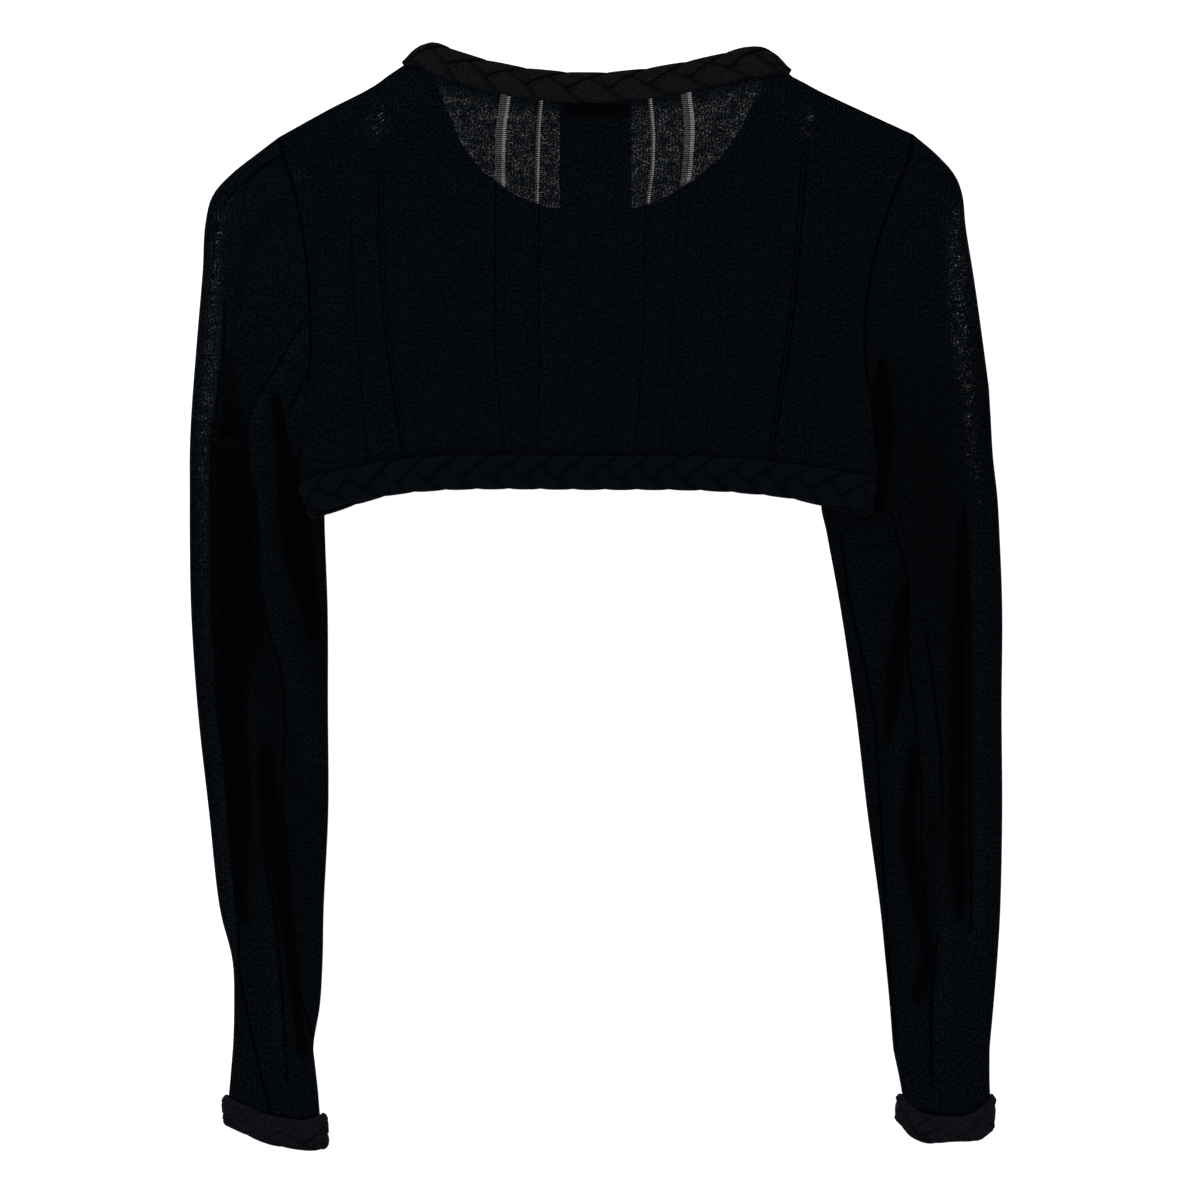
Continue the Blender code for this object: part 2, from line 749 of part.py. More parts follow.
def make_cuff(side):
    # A flattened loop of plait: both layers lie on each other, and the lower one is plain.
    seam, free = through(CUFF_SEAM[side]), through(CUFF_FREE[side])
    width = length_of(seam)
    edge_share = 1.6 / width
    flat_share = 1 - 2 * edge_share
    tops = [edge_share + flat_share * i / CUFF_TOP_STEPS for i in range(CUFF_TOP_STEPS + 1)]
    unders = [edge_share + flat_share * i / CUFF_UNDER_STEPS for i in range(CUFF_UNDER_STEPS, -1, -1)]

    def place(u, row):
        return at(seam, u).lerp(at(free, u), row)

    def outer_ring(row):
        across = (row - 0.5) * 2 * (STRAND_SWING + STRAND_HALF)
        ring = [(*place(0.0, row), BRAID)]
        for u in tops:
            along = u * width
            crown = plait_height(along, across * 0.97, CUFF_LOBE, 1.0)
            ring.append((*place(u, row), ON_BRAID + BRAID_MIDDLE + crown))
        ring.append((*place(1.0, row), BRAID))
        ring += [(*place(u, row), 0.0) for u in unders]
        return ring

    def inner_ring(row):
        inset = 4.0 / width
        ring = [(*place(inset, row), BRAID + GAP / 2)]
        ring += [(*place(inset + (1 - 2 * inset) * u, row), ON_BRAID) for u in tops]
        ring.append((*place(1.0 - inset, row), BRAID + GAP / 2))
        ring += [(*place(inset + (1 - 2 * inset) * u, row), BRAID) for u in unders]
        return ring

    outside = [outer_ring(row) for row in CUFF_ROWS]
    inside = [inner_ring(0.0), inner_ring(1.0)]
    finish(tube_solid(outside, inside), f"cuff_braid_{side}", BRAID_BLACK, 0.85)


def make_label():
    half = LABEL_WIDTH / 2
    rows = []
    for i in range(5):
        y = LABEL_BOTTOM + (LABEL_TOP - LABEL_BOTTOM) * i / 4
        rows.append([Vector((LABEL_CENTRE + half * j / 2, y)) for j in range(-2, 3)])
    finish(sheet_solid(rows, lambda x, y: 0.0, LABEL_THICK), "label", LABEL_BLACK, 0.6)


def main():
    for obj in list(bpy.data.objects):
        bpy.data.objects.remove(obj, do_unlink=True)
    make_front()
    make_back()
    for side in ("left", "right"):
        make_sleeve(side)
        make_cuff(side)
    make_neck_braids()
    make_hem_braids()
    make_label()


main()
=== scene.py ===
import math
from functools import partial

import bmesh
import bpy
import numpy as np
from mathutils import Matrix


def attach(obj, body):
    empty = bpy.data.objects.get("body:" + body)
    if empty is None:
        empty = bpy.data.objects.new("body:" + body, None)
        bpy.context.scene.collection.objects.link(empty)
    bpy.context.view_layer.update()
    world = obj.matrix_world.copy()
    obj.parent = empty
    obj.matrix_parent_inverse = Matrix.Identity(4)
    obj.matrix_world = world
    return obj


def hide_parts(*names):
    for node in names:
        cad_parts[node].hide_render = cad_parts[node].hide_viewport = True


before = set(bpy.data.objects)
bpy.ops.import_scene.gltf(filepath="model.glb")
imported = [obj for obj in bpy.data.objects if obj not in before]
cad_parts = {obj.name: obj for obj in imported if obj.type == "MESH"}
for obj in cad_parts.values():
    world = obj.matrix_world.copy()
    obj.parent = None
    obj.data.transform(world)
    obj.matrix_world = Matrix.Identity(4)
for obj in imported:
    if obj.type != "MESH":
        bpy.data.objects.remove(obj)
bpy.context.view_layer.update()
mm = 0.001  # the scene is in metres, and every size below is in millimetres


def smoothStep(t):
    t = np.clip(t, 0.0, 1.0)
    return t * t * (3 - 2 * t)


def bell(distance, reach, power=2):
    return np.exp(-((distance / reach) ** power))


def lengths(rows):
    return np.linalg.norm(rows, axis=-1)


def runOf(line):
    # how far along a line each of its points is
    return np.concatenate([[0.0], np.cumsum(lengths(np.diff(line, axis=0)))])


def lengthOf(line):
    return runOf(line)[-1]


def rowsAt(places, run, rows):
    # rows that belong to the steps of a run, read at other places along it
    return np.stack([np.interp(places, run, column) for column in np.atleast_2d(rows.T)], axis=-1)


def through(knots, steps=10):
    # a dense line on a smooth curve through the knots (centripetal Catmull-Rom)
    p = np.array(knots, float)
    p = np.vstack([2 * p[0] - p[1], p, 2 * p[-1] - p[-2]])
    line = []
    for a, b, c, d in zip(p, p[1:], p[2:], p[3:]):
        t1 = np.linalg.norm(b - a) ** 0.5
        t2 = t1 + np.linalg.norm(c - b) ** 0.5
        t3 = t2 + np.linalg.norm(d - c) ** 0.5
        t = np.linspace(t1, t2, steps, endpoint=False)[:, None]
        ab = a + (b - a) * t / t1
        bc = b + (c - b) * (t - t1) / (t2 - t1)
        cd = c + (d - c) * (t - t2) / (t3 - t2)
        abc = ab + (bc - ab) * t / t2
        bcd = bc + (cd - bc) * (t - t1) / (t3 - t1)
        line.append(abc + (bcd - abc) * (t - t1) / (t2 - t1))
    line.append(p[-2:-1])
    return np.vstack(line)


def pointsAt(line, shares):
    # the points at these shares of a line's length
    run = runOf(line)
    return rowsAt(shares, run / run[-1], line)


def evenly(line, count):
    return pointsAt(line, np.linspace(0.0, 1.0, count + 1))


def leftOf(line):
    # unit normals to the left of the direction of travel
    way = np.gradient(line, axis=0)
    way /= lengths(way)[:, None]
    return np.stack([-way[:, 1], way[:, 0]], axis=-1)


def movedAside(line, distance):
    return line + leftOf(line) * distance


def nearestOn(line, points):
    # distance from each point to a line, the side it is on (1 is left of the direction of travel)
    # and the line's own row there, with the widths that follow x and y
    best = np.full(len(points), 1e9)
    side = np.ones(len(points))
    rows = np.zeros((len(points), line.shape[1]))
    for a, b in zip(line, line[1:]):
        ab, ap = (b - a)[:2], points - a[:2]
        t = np.clip(ap @ ab / max(ab @ ab, 1e-12), 0.0, 1.0)
        away = lengths(ap - t[:, None] * ab)
        cross = ab[0] * ap[:, 1] - ab[1] * ap[:, 0]
        closer = away < best
        best = np.where(closer, away, best)
        side = np.where(closer, np.where(cross >= 0, 1.0, -1.0), side)
        rows = np.where(closer[:, None], a + t[:, None] * (b - a), rows)
    return best, side, rows


def distanceTo(line, points):
    return nearestOn(line, points)[0]


# How the layers lie on each other, as in the solids
layers = {
    "wall": 1.2,
    "gap": 0.3,
    "braid": 4.5,  # thickness of a plaited trim
    "braidHalf": 10.2,  # half the width of the hem's trim
    "neckHalf": 9.4,
    "pressed": 2.7,  # a sleeve pressed flat under the body
    "lofted": 4.2,  # a sleeve that lies free
    "hemRise": 6.0,  # underside of the back at the hem's upper trim
    "tuck": 2.5,  # how far a panel reaches in behind its trim
    # the body is raised from this far beside a tucked sleeve and up to this height, each with the
    # width over which it eases; above the row the sleeve's inner edge is taken as straight
    "raiseBeside": (18.0, 12.0),
    "raiseTop": (134.0, 20.0),
    "raiseRow": 100.0,
    "trimEase": (3.5, 12.0),  # the back comes down this far from the front's neck trim
    "hemEase": 26.0,
    "backBeside": 6.0,  # the back is raised from this much further out
    "neckEnds": (0.22, 20.0),  # share of the neck trim's width at its ends, and how far it narrows
    "creaseReach": 6.0,  # distances to a thin crease are kept up to this
}
backUnder = layers["wall"] + layers["gap"]
onBraid = layers["braid"] + layers["gap"]
bodyLift = layers["pressed"] + layers["gap"]

outline = {
    "shoulderLeft": [(-190.4, 274.6), (-160, 291.5), (-135, 304.4), (-117.6, 315.8)],
    "shoulderRight": [(189.8, 276.6), (160, 290.3), (130, 304.4), (117.6, 310.6)],
    "armholeLeft": [
        (-190.4, 274.6), (-184.8, 256), (-179, 236), (-174, 206), (-171.6, 174), (-171.2, 144),
        (-171.8, 128)
    ],
    "armholeRight": [
        (189.8, 276.6), (188.2, 264), (180.6, 245.4), (171.8, 221), (164.2, 190), (161.2, 162),
        (162.4, 131)
    ],
    "sideLeft": [(-173.6, 100), (-171.8, 128)],
    "sideRight": [(164.6, 104), (162.4, 131)],
    "hemCentre": [
        (-177, 57), (-156, 63.8), (-126, 70), (-90, 73.4), (0, 73.6), (70, 72.8), (113, 69), (146, 64),
        (168.6, 59.6)
    ],
    "neckCentre": [
        (-115.4, 317.8), (-108, 321.8), (-98.6, 322.3), (-84, 317), (-50.4, 308.8), (-25.2, 305.6),
        (-0.6, 304.6), (24.6, 306.4), (50.4, 310.4), (74.4, 315.4), (93, 319.4), (106, 318), (116.2, 313)
    ],
    "scoopEdge": [
        (-99, 315), (-89.8, 293.5), (-77.4, 266.6), (-58.2, 247), (-32, 234.2), (0, 231.4), (30, 234.4),
        (52.6, 246), (73.6, 262), (87.2, 282), (101, 309)
    ],
}
hemLine = evenly(through(outline["hemCentre"]), 120)
neckLine = evenly(through(outline["neckCentre"]), 90)
scoopLine = through(outline["scoopEdge"])
frontTrimLine = evenly(movedAside(scoopLine, -layers["neckHalf"]), 90)


def longer(line, extra):
    # a line drawn on past its ends
    ways = [line[0] - line[1], line[-1] - line[-2]]
    ends = [end + way * extra / lengths(way) for end, way in zip((line[0], line[-1]), ways)]
    return np.vstack([ends[0], line, ends[1]])


# Sleeves from the cuff to the underarm: y, outer edge, inner edge
sleeveRows = {
    "left": [
        (-300, -220.6, -166), (-272, -217.8, -169.4), (-245, -217, -165.4), (-218, -218, -163.8),
        (-188, -225.4, -163.2), (-128, -232.2, -160.4), (-68, -238.8, -160.6), (-8, -242.8, -160.8),
        (38, -243.6, -162.5), (62, -243.6, -163.2), (86, -243.6, -165), (106, -242.8, -168.6),
        (122, -241.8, -170.4)
    ],
    "right": [
        (-300, 234.4, 182), (-272, 236, 178.2), (-245, 238.4, 176), (-218, 240.6, 173.4),
        (-188, 242.4, 170.4), (-128, 243.6, 162.4), (-68, 243.2, 155.4), (-8, 243.6, 146.6),
        (36, 242, 138.6), (58, 240.8, 135), (84, 238, 144), (106, 236.7, 160.5), (125, 235.6, 161.5)
    ],
}
# Outer edge of each sleeve, from the last row above to the shoulder's tip
sleeveHead = {
    "left": [
        (-241.8, 122), (-238.8, 159.6), (-235.8, 195.6), (-234.4, 222), (-230, 240), (-218.6, 253),
        (-204, 264.6), (-190.8, 274.8)
    ],
    "right": [
        (235.6, 125), (231, 159.6), (226.4, 192), (221.6, 222), (219.8, 240), (215.4, 252), (204, 265),
        (190.2, 276.8)
    ],
}
# The edge of each cuff that is sewn to the sleeve, and its free edge, both from left to right
cuffSeam = {
    "left": [
        (-224.2, -297), (-214, -302.4), (-200, -308.6), (-184, -312.6), (-170, -312.4), (-161, -307.4)
    ],
    "right": [(238.4, -295), (231.2, -305.4), (218, -310.8), (204, -310.8), (190.4, -306.2), (181, -295)],
}
cuffFree = {
    "left": [
        (-222.6, -315.8), (-211, -321.8), (-196, -328), (-182, -330.8), (-169, -332), (-159.8, -331)
    ],
    "right": [(237.4, -319), (229.4, -325.8), (214, -326.4), (198, -327.6), (187, -322.6), (180, -313)],
}
innerEdge = {
    side: through([(inner, y) for y, outer, inner in rows]) for side, rows in sleeveRows.items()
}


def overSleeve(points, spread):
    # 1 where the body lies over a tucked sleeve, easing to 0 on the table
    x, y = points.T
    row = np.minimum(y, layers["raiseRow"])
    beyond = []
    for side, sign in (("left", -1.0), ("right", 1.0)):
        line = innerEdge[side]
        beyond.append(sign * (x - np.interp(row, line[:, 1], line[:, 0])))
    (beside, ease), (top, topEase) = layers["raiseBeside"], layers["raiseTop"]
    across = smoothStep((np.where(x < 0, *beyond) + beside + spread) / ease)
    return across * smoothStep((top + spread - y) / topEase)


def frontUnderside(points):
    return bodyLift * overSleeve(points, 0.0)


def backLift(points):
    return bodyLift * overSleeve(points, layers["backBeside"])


def backUnderside(points):
    # the back lies on the front, over the front's neck trim and up to the hem's trim
    beside, ease = layers["trimEase"]
    fromTrim = distanceTo(frontTrimLine, points)
    overTrim = 1.0 - smoothStep((fromTrim - layers["neckHalf"] - beside) / ease)
    toHem = 1.0 - smoothStep((distanceTo(hemLine, points) - layers["braidHalf"]) / layers["hemEase"])
    bump = np.maximum((onBraid - backUnder) * overTrim, (layers["hemRise"] - backUnder) * toHem)
    return backUnder + bump + backLift(points)


# Materials


def linear(hexColour):
    parts = [int(hexColour[i : i + 2], 16) / 255 for i in (1, 3, 5)]
    return (*(p / 12.92 if p <= 0.04045 else ((p + 0.055) / 1.055) ** 2.4 for p in parts), 1.0)


def setInputs(node, inputs):
    # an input is a value, a socket, or a node whose first output is meant
    for key, value in inputs.items():
        if isinstance(value, bpy.types.Node):
            value = value.outputs[0]
        if isinstance(value, bpy.types.NodeSocket):
            node.id_data.links.new(value, node.inputs[key])
        else:
            node.inputs[key].default_value = value


def addNode(tree, kind, *inputs, **settings):
    # adds a node: its inputs come in their own order or in a dictionary, and a Math node's
    # operation comes before them
    if inputs and isinstance(inputs[0], str):
        settings["operation"], *inputs = inputs
    node = tree.nodes.new("ShaderNode" + kind)
    for name, value in settings.items():
        setattr(node, name, value)
    named = inputs and isinstance(inputs[0], dict)
    setInputs(node, inputs[0] if named else dict(enumerate(inputs)))
    return node


def newMaterial(name):
    material = bpy.data.materials.new(name)
    material.use_nodes = True
    tree = material.node_tree
    return material, tree.nodes["Principled BSDF"], partial(addNode, tree)


def finishCloth(shader, add, values, light, tone, height):
    # colour by tone, from the cloth's deep shade to its light one, relief, and the even values
    colour = add("Mix", {0: tone, 6: linear(values["deep"]), 7: linear(light)}, data_type="RGBA")
    bump = add("Bump", {"Strength": 1.0, "Distance": values["bumpHeight"] * mm, "Height": height})
    setInputs(shader, {
        "Base Color": colour.outputs[2], "Normal": bump, "Roughness": values["roughness"],
        "Specular IOR Level": values["specular"], "Sheen Weight": values["sheen"], "Sheen Roughness": 0.5,
    })


# Fine-gauge stockinette in black viscose: a matt black with a faint blue cast, thin enough that
# light comes through between its stitches. Real wales are about 1.1 mm apart and courses 0.8 mm;
# both are drawn at about 1.7 times that, so that they show.
knit = {
    "wale": 1.9,
    "course": 1.4,
    "slant": 3.4,  # how steeply the two legs of a stitch lean, in radians across a wale
    "dome": 0.6,  # how full a stitch is across its wale: less is fuller
    "legs": (0.22, 0.7),  # relief of a stitch's legs, and of the stitch under them
    "stitchTone": (0.7, 0.68),  # painted shade between stitches: how much lighter a stitch's top is, over the gaps' tone
    "deep": "#000101",  # the dark end of the tone: painted shade in a fold or between stitches
    "raised": "#1B232D",  # the light end of the tone, taken more where the cloth is raised: painted light on ridges
    "tone": 0.168,  # from deep to raised, where the cloth lies flat
    "bumpHeight": 0.16,
    "roughness": 0.95,
    "specular": 0.02,
    "sheen": 0.004,
    "grain": (1.05, 0.9),  # thick and thin places to a millimetre, across and along
    "yarn": (0.85, 0.6),  # darker and lighter yarn to a millimetre, across and along
    "yarnRange": (0.38, 0.62),  # the less that lies between these, the stronger the yarn's contrast
    "thin": (0.4, 0.61),  # from where a thin place lets light through, to where it is fully open
    "cover": 0.12,  # how much a stitch's top covers of it
    "open": 0.29,  # of the light that the thinnest places let through each face
    "patch": (0.2, 0.5, 1.4),  # larger patches: to a millimetre, and share open in them
    "patchRange": (0.35, 0.65),
    "dim": 0.32,  # of the light between a ladder's bars
    "clear": 0.62,  # and in its clearer strip
    "rung": 1.25,  # distance between the bars of a ladder
    "barUneven": 1.6,  # how much the bars vary with the grain
    "barRange": (0.1, 1.5, 0.08),  # from a bar to the gap beside it, and what light a bar lets through
    "lineHalf": 0.6,  # half the width of the painted shade line along a ladder's side
    "lineFade": 12.0,
    "crease": (0.5, 1.25, 1.8),  # half widths of a thin crease's painted shade: dark, faded out and cut off
    # how much a thin crease or a ladder's side line darkens the colour: painted shade, and dark seams at
    # the armholes
    "creaseDark": 0.95,
    "creaseDeep": 2.0,  # against the height of a stitch
}
# Ladders of dropped stitches down the body, from left to right: width, the width of the clearer
# strip at its right, the height where its dark lines of painted shade begin, how dark the painted shade
# along each side is, and its route from the top
ladders = [
    (0.5, 0.2, 234.0, (0.0, 0.7), [(-148.2, 237), (-145.8, 190), (-141.6, 133.8), (-137, 84)]),
    (2.6, 0.6, 268.0, (1.0, 0.7), [(-131, 295), (-129.6, 271.2), (-126, 168), (-114, 84)]),
    (6.0, 1.9, 400.0, (1.0, 0.3), [
        (-54, 300), (-57, 279.6), (-57.6, 256.8), (-57, 231.6), (-57.6, 151.2), (-52.2, 84)
    ]),
    (2.3, 1.1, 400.0, (0.15, 0.9), [
        (-33, 295.8), (-34.2, 283.8), (-35.1, 256.8), (-35.4, 235.2), (-35.4, 84)
    ]),
    (2.3, 1.3, 400.0, (0.9, 0.2), [
        (32.4, 297.6), (34.2, 276.6), (33.6, 254.4), (31.2, 236.4), (30, 168), (24.6, 85.8)
    ]),
    (6.0, 2.2, 400.0, (0.8, 0.45), [
        (54, 299.4), (55.8, 285.6), (55.5, 267.6), (53.4, 245.4), (49.8, 185.4), (42, 87.6)
    ]),
    (2.6, 0.6, 272.0, (1.0, 1.0), [(127, 290), (124.2, 253.8), (117, 168), (105, 87.6)]),
    (0.5, 0.2, 248.0, (0.0, 0.55), [(148, 280), (146.4, 253.8), (139.8, 168), (130.8, 117), (127, 84)]),
]


def ladderPlaces(y):
    # where each ladder crosses these heights, and its place in the knit's own width
    lines = [through(route)[::-1] for *_, route in ladders]
    return [np.interp(y, line[:, 1], line[:, 0]) for line in lines], [line[:, 0].mean() for line in lines]


def acrossWales(points):
    # the wales run beside the ladders, so the knit's width is read between them
    x, y = points.T
    crossings, own = ladderPlaces(y)
    across = x - crossings[0] + own[0]
    for (lineA, lineB), (ownA, ownB) in zip(zip(crossings, crossings[1:]), zip(own, own[1:])):
        share = (x - lineA) / (lineB - lineA)
        across = np.where(share > 0, ownA + (ownB - ownA) * share, across)
    return np.where(x > crossings[-1], x - crossings[-1] + own[-1], across)


def knitMaterial(name, strips, shift=0.0):
    material, shader, add = newMaterial(name)
    split = add("SeparateXYZ", add("UVMap", uv_map="knit"))
    u = add("Math", "ADD", split.outputs["X"], shift)
    v = add("Math", "ADD", split.outputs["Y"], shift * 0.7)

    # each wale is a column of V stitches: 0 between two wales, 1 at a wale's middle
    half = knit["wale"] / 2
    wave = add("Math", "PINGPONG", u, half)
    column = add("Math", "DIVIDE", wave, half)
    rise = add("Math", "MULTIPLY", v, 2 * math.pi / knit["course"])
    slant = add("Math", "MULTIPLY_ADD", column, knit["slant"], rise)
    leg = add("Math", "SINE", slant)
    dome = add("Math", "POWER", column, knit["dome"])
    relief = add("Math", "MULTIPLY_ADD", leg, *knit["legs"])
    stitch = add("Math", "MULTIPLY", dome, relief)

    # the yarn is thicker and thinner from stitch to stitch, and in larger patches
    knitPlace = add("CombineXYZ", u, v)
    patchScale, patchLow, patchHigh = knit["patch"]
    patches = add("TexNoise", {"Vector": knitPlace, "Scale": patchScale, "Detail": 2.0})
    stretched = add("Mapping", {"Vector": knitPlace, "Scale": (*knit["grain"], 1.0)})
    grain = add("TexNoise", {"Vector": stretched, "Scale": 1.0, "Detail": 2.0})
    fine = add("Math", "MULTIPLY_ADD", stitch, -knit["cover"], grain)
    thin = add("MapRange", fine, *knit["thin"], 0.0, knit["open"])
    share = add("MapRange", patches, *knit["patchRange"], patchLow, patchHigh)
    share = add("Math", "MULTIPLY", share, add("Attribute", attribute_name="open").outputs["Fac"])
    opening = add("Math", "MULTIPLY", thin, share)

    # painted shade along thin creases (dark seams at the armholes), read from two distances on the mesh,
    # since one changes sign between creases too
    aside, near, shade = (
        add("Attribute", attribute_name=name).outputs["Fac"] for name in ("aside", "near", "shade")
    )
    away = add("Math", "ABSOLUTE", aside)
    dark, faded, cutOff = knit["crease"]
    groove = add("MapRange", away, dark, faded, 1.0, 0.0)
    close = add("Math", "LESS_THAN", near, cutOff)
    crease = add("Math", "MULTIPLY", groove, close)

    if strips:
        # ladders: bars of single threads, clearer along the right side; only what lies over the
        # front's scoop has nothing behind it
        bars = add("Math", "MULTIPLY", v, 2 * math.pi / knit["rung"])
        barWave = add("Math", "SINE", bars)
        uneven = add("Math", "MULTIPLY_ADD", grain, knit["barUneven"], barWave)
        between = add("MapRange", uneven, *knit["barRange"], 1.0)
        sheer = add("Attribute", attribute_name="sheer").outputs["Fac"]
        between = add("Math", "MULTIPLY", between, sheer)
    for middle, width, clear, top, marks in strips:
        # the bars over the whole width, and those at the right
        for centre, across, light in (
            (middle, width, knit["dim"]), (middle + (width - clear) / 2, clear, knit["clear"]),
        ):
            inside = add("Math", "COMPARE", u, centre + shift, across / 2)
            lit = add("Math", "MULTIPLY", between, light)
            lit = add("Math", "MULTIPLY", inside, lit)
            opening = add("Math", "MAXIMUM", opening, lit)
        # painted shade: a dark line down each side of a ladder, from its given height down
        below = add("MapRange", v, top + knit["lineFade"], top - knit["lineFade"])
        for end, mark in zip((-1, 1), marks):
            place = middle + shift + end * width / 2
            line = add("Math", "COMPARE", u, place, knit["lineHalf"])
            line = add("Math", "MULTIPLY", line, mark)
            line = add("Math", "MULTIPLY", line, below)
            crease = add("Math", "MAXIMUM", crease, line)
    setInputs(shader, {"Alpha": add("Math", "SUBTRACT", 1.0, opening)})

    # the tone: painted shade between stitches, random yarn, the shade attribute's painted light and
    # shade, and painted shade along creases and ladders' sides
    tone = add("Math", "MULTIPLY_ADD", stitch, *knit["stitchTone"])
    streaked = add("Mapping", {"Vector": knitPlace, "Scale": (*knit["yarn"], 1.0)})
    uneven = add("TexNoise", {"Vector": streaked, "Scale": 1.0, "Detail": 3.0})
    yarn = add("MapRange", uneven, *knit["yarnRange"], 0.0, 2.0)
    flat = add("Math", "MULTIPLY_ADD", crease, -knit["creaseDark"], 1.0)
    for factor in (yarn, knit["tone"], shade):
        tone = add("Math", "MULTIPLY", tone, factor)
    tone = add("Math", "MULTIPLY", tone, flat, use_clamp=True)
    height = add("Math", "MULTIPLY_ADD", crease, -knit["creaseDeep"], stitch)
    finishCloth(shader, add, knit, knit["raised"], tone, height)
    return material


# Strips of the same jersey, folded double and plaited: fine ribs run along each strip. At the
# neck and the wrists they take lighter, greyer copies of the hem's colour: painted light.
strip = {
    "rib": 1.5,
    "deep": "#010203",
    "plain": "#0F151D",
    # painted light: the trims at the neck and the wrists take lighter, greyer copies of the hem's colour
    "neckPaintedLight": "#1E2123",
    "wearAndPaintedLight": "#212228",
    "bumpHeight": 0.14,
    "roughness": 0.95,
    "specular": 0.02,
    "sheen": 0.012,
    "fibre": (0.9, 0.35),  # to a millimetre, across and along
    "fibreHigh": 0.9,  # against the height of a rib
    # painted shade between the ribs
    "ribTone": 0.12,
    "fuzz": 2.2,  # contrast of the loose fibre
    "fuzzTone": 0.7,
    "fuzzScale": 900.0,  # to a metre
}


def stripMaterial(name, light):
    material, shader, add = newMaterial(name)
    place = add("UVMap", uv_map="knit")
    half = strip["rib"] / 2
    rib = add("Math", "PINGPONG", add("SeparateXYZ", place), half)
    rib = add("Math", "DIVIDE", rib, half)
    where = add("Mapping", {"Vector": place, "Scale": (*strip["fibre"], 1.0)})
    fibre = add("TexNoise", {"Vector": where, "Scale": 1.0, "Detail": 4.0})
    body = add("TexCoord").outputs["Object"]
    fuzz = add("TexNoise", {"Vector": body, "Scale": strip["fuzzScale"], "Detail": 3.0})
    height = add("Math", "MULTIPLY_ADD", fibre, strip["fibreHigh"], rib)
    tone = add("Math", "MULTIPLY_ADD", rib, strip["ribTone"], 0.0)
    tone = add("Math", "MULTIPLY_ADD", fuzz, strip["fuzzTone"] * strip["fuzz"], tone)
    tone = add("Math", "SUBTRACT", tone, strip["fuzzTone"] / 2 * (strip["fuzz"] - 1))
    # painted shade in the grooves
    flat = add("Math", "SUBTRACT", 1.0, add("Attribute", attribute_name="groove").outputs["Fac"])
    tone = add("Math", "MULTIPLY", tone, flat, use_clamp=True)
    finishCloth(shader, add, strip, light, tone, height)
    return material


# Woven satin, cut and folded into a bare label: smooth, so it has a slight gloss, with its
# threads across it. They are about 0.2 mm apart and drawn at 0.8 mm.
satin = {
    "thread": 0.8,
    "threadTone": 1.4,
    "noise": 700.0,  # to a metre
    "deep": "#020304",
    "light": "#0A0C11",
    "bumpHeight": 0.05,
    "roughness": 0.5,
    "specular": 0.05,
    "sheen": 0.0,
}


def satinMaterial(name):
    material, shader, add = newMaterial(name)
    thread = satin["thread"] * mm
    body = add("TexCoord").outputs["Object"]
    split = add("SeparateXYZ", body)
    threads = add("Math", "PINGPONG", split.outputs["Y"], thread / 2)
    tone = add("Math", "MULTIPLY", threads, satin["threadTone"] / thread)
    noise = add("TexNoise", {"Vector": body, "Scale": satin["noise"], "Detail": 2.0})
    tone = add("Math", "MULTIPLY", tone, noise)
    finishCloth(shader, add, satin, satin["light"], tone, tone)
    return material


# Meshes


def newGrid(columns, rows):
    # a unit grid whose own map is kept as "knit"
    bm = bmesh.new()
    bm.loops.layers.uv.new("knit")
    bmesh.ops.create_grid(bm, x_segments=columns, y_segments=rows, size=0.5, calc_uvs=True)
    shares = np.array([(v.co.x + 0.5, v.co.y + 0.5) for v in bm.verts])
    return bm, shares[:, 0], shares[:, 1]


def placeVertices(bm, points, heights):
    for vert, (x, y), z in zip(bm.verts, points, heights):
        vert.co = (x * mm, y * mm, z * mm)


def addObject(name, data):
    thing = bpy.data.objects.new(name, data)
    bpy.context.scene.collection.objects.link(thing)
    return thing


def finishPiece(bm, name, material, nodes):
    mesh = bpy.data.meshes.new(name)
    bm.to_mesh(mesh)
    bm.free()
    mesh.materials.append(material)
    mesh.shade_smooth()
    piece = addObject(name, mesh)
    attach(piece, "root")
    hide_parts(*nodes)
    return piece


def giveThickness(piece, thickness, offset):
    wall = piece.modifiers.new("wall", "SOLIDIFY")
    wall.thickness = thickness * mm
    wall.offset = offset


def addAttribute(bm, name, values):
    layer = bm.verts.layers.float.new(name)
    for vert, value in zip(bm.verts, values):
        vert[layer] = value


def markCreases(bm, points, routes):
    # distances to the nearest thin crease, for the material to paint a dark line there (painted shade,
    # and dark seams at the armholes): one with its side's sign, one without
    near, aside = np.full((2, len(points)), layers["creaseReach"])
    for route in routes:
        away, side, _ = nearestOn(through(route, 4), points)
        closer = away < near
        near = np.where(closer, away, near)
        aside = np.where(closer, away * side, aside)
    addAttribute(bm, "near", near)
    addAttribute(bm, "aside", aside)


def joinedEdge(*parts):
    # one edge from several: each part is (share at its end, line)
    def point(shares):
        found, start = None, 0.0
        for end, line in parts:
            here = pointsAt(line, (shares - start) / (end - start))
            found = here if found is None else np.where((shares > start)[:, None], here, found)
            start = end
        return found

    return point


def fillEdges(u, v, bottom, top, left, right):
    # plan points that fill four edges (a Coons patch)
    zero, one = np.zeros(1), np.ones(1)
    low = v[:, None]
    ends = bottom(u) * (1 - low) + top(u) * low
    leftSide = left(v) - (bottom(zero) * (1 - low) + top(zero) * low)
    rightSide = right(v) - (bottom(one) * (1 - low) + top(one) * low)
    return ends + leftSide * (1 - u[:, None]) + rightSide * u[:, None]


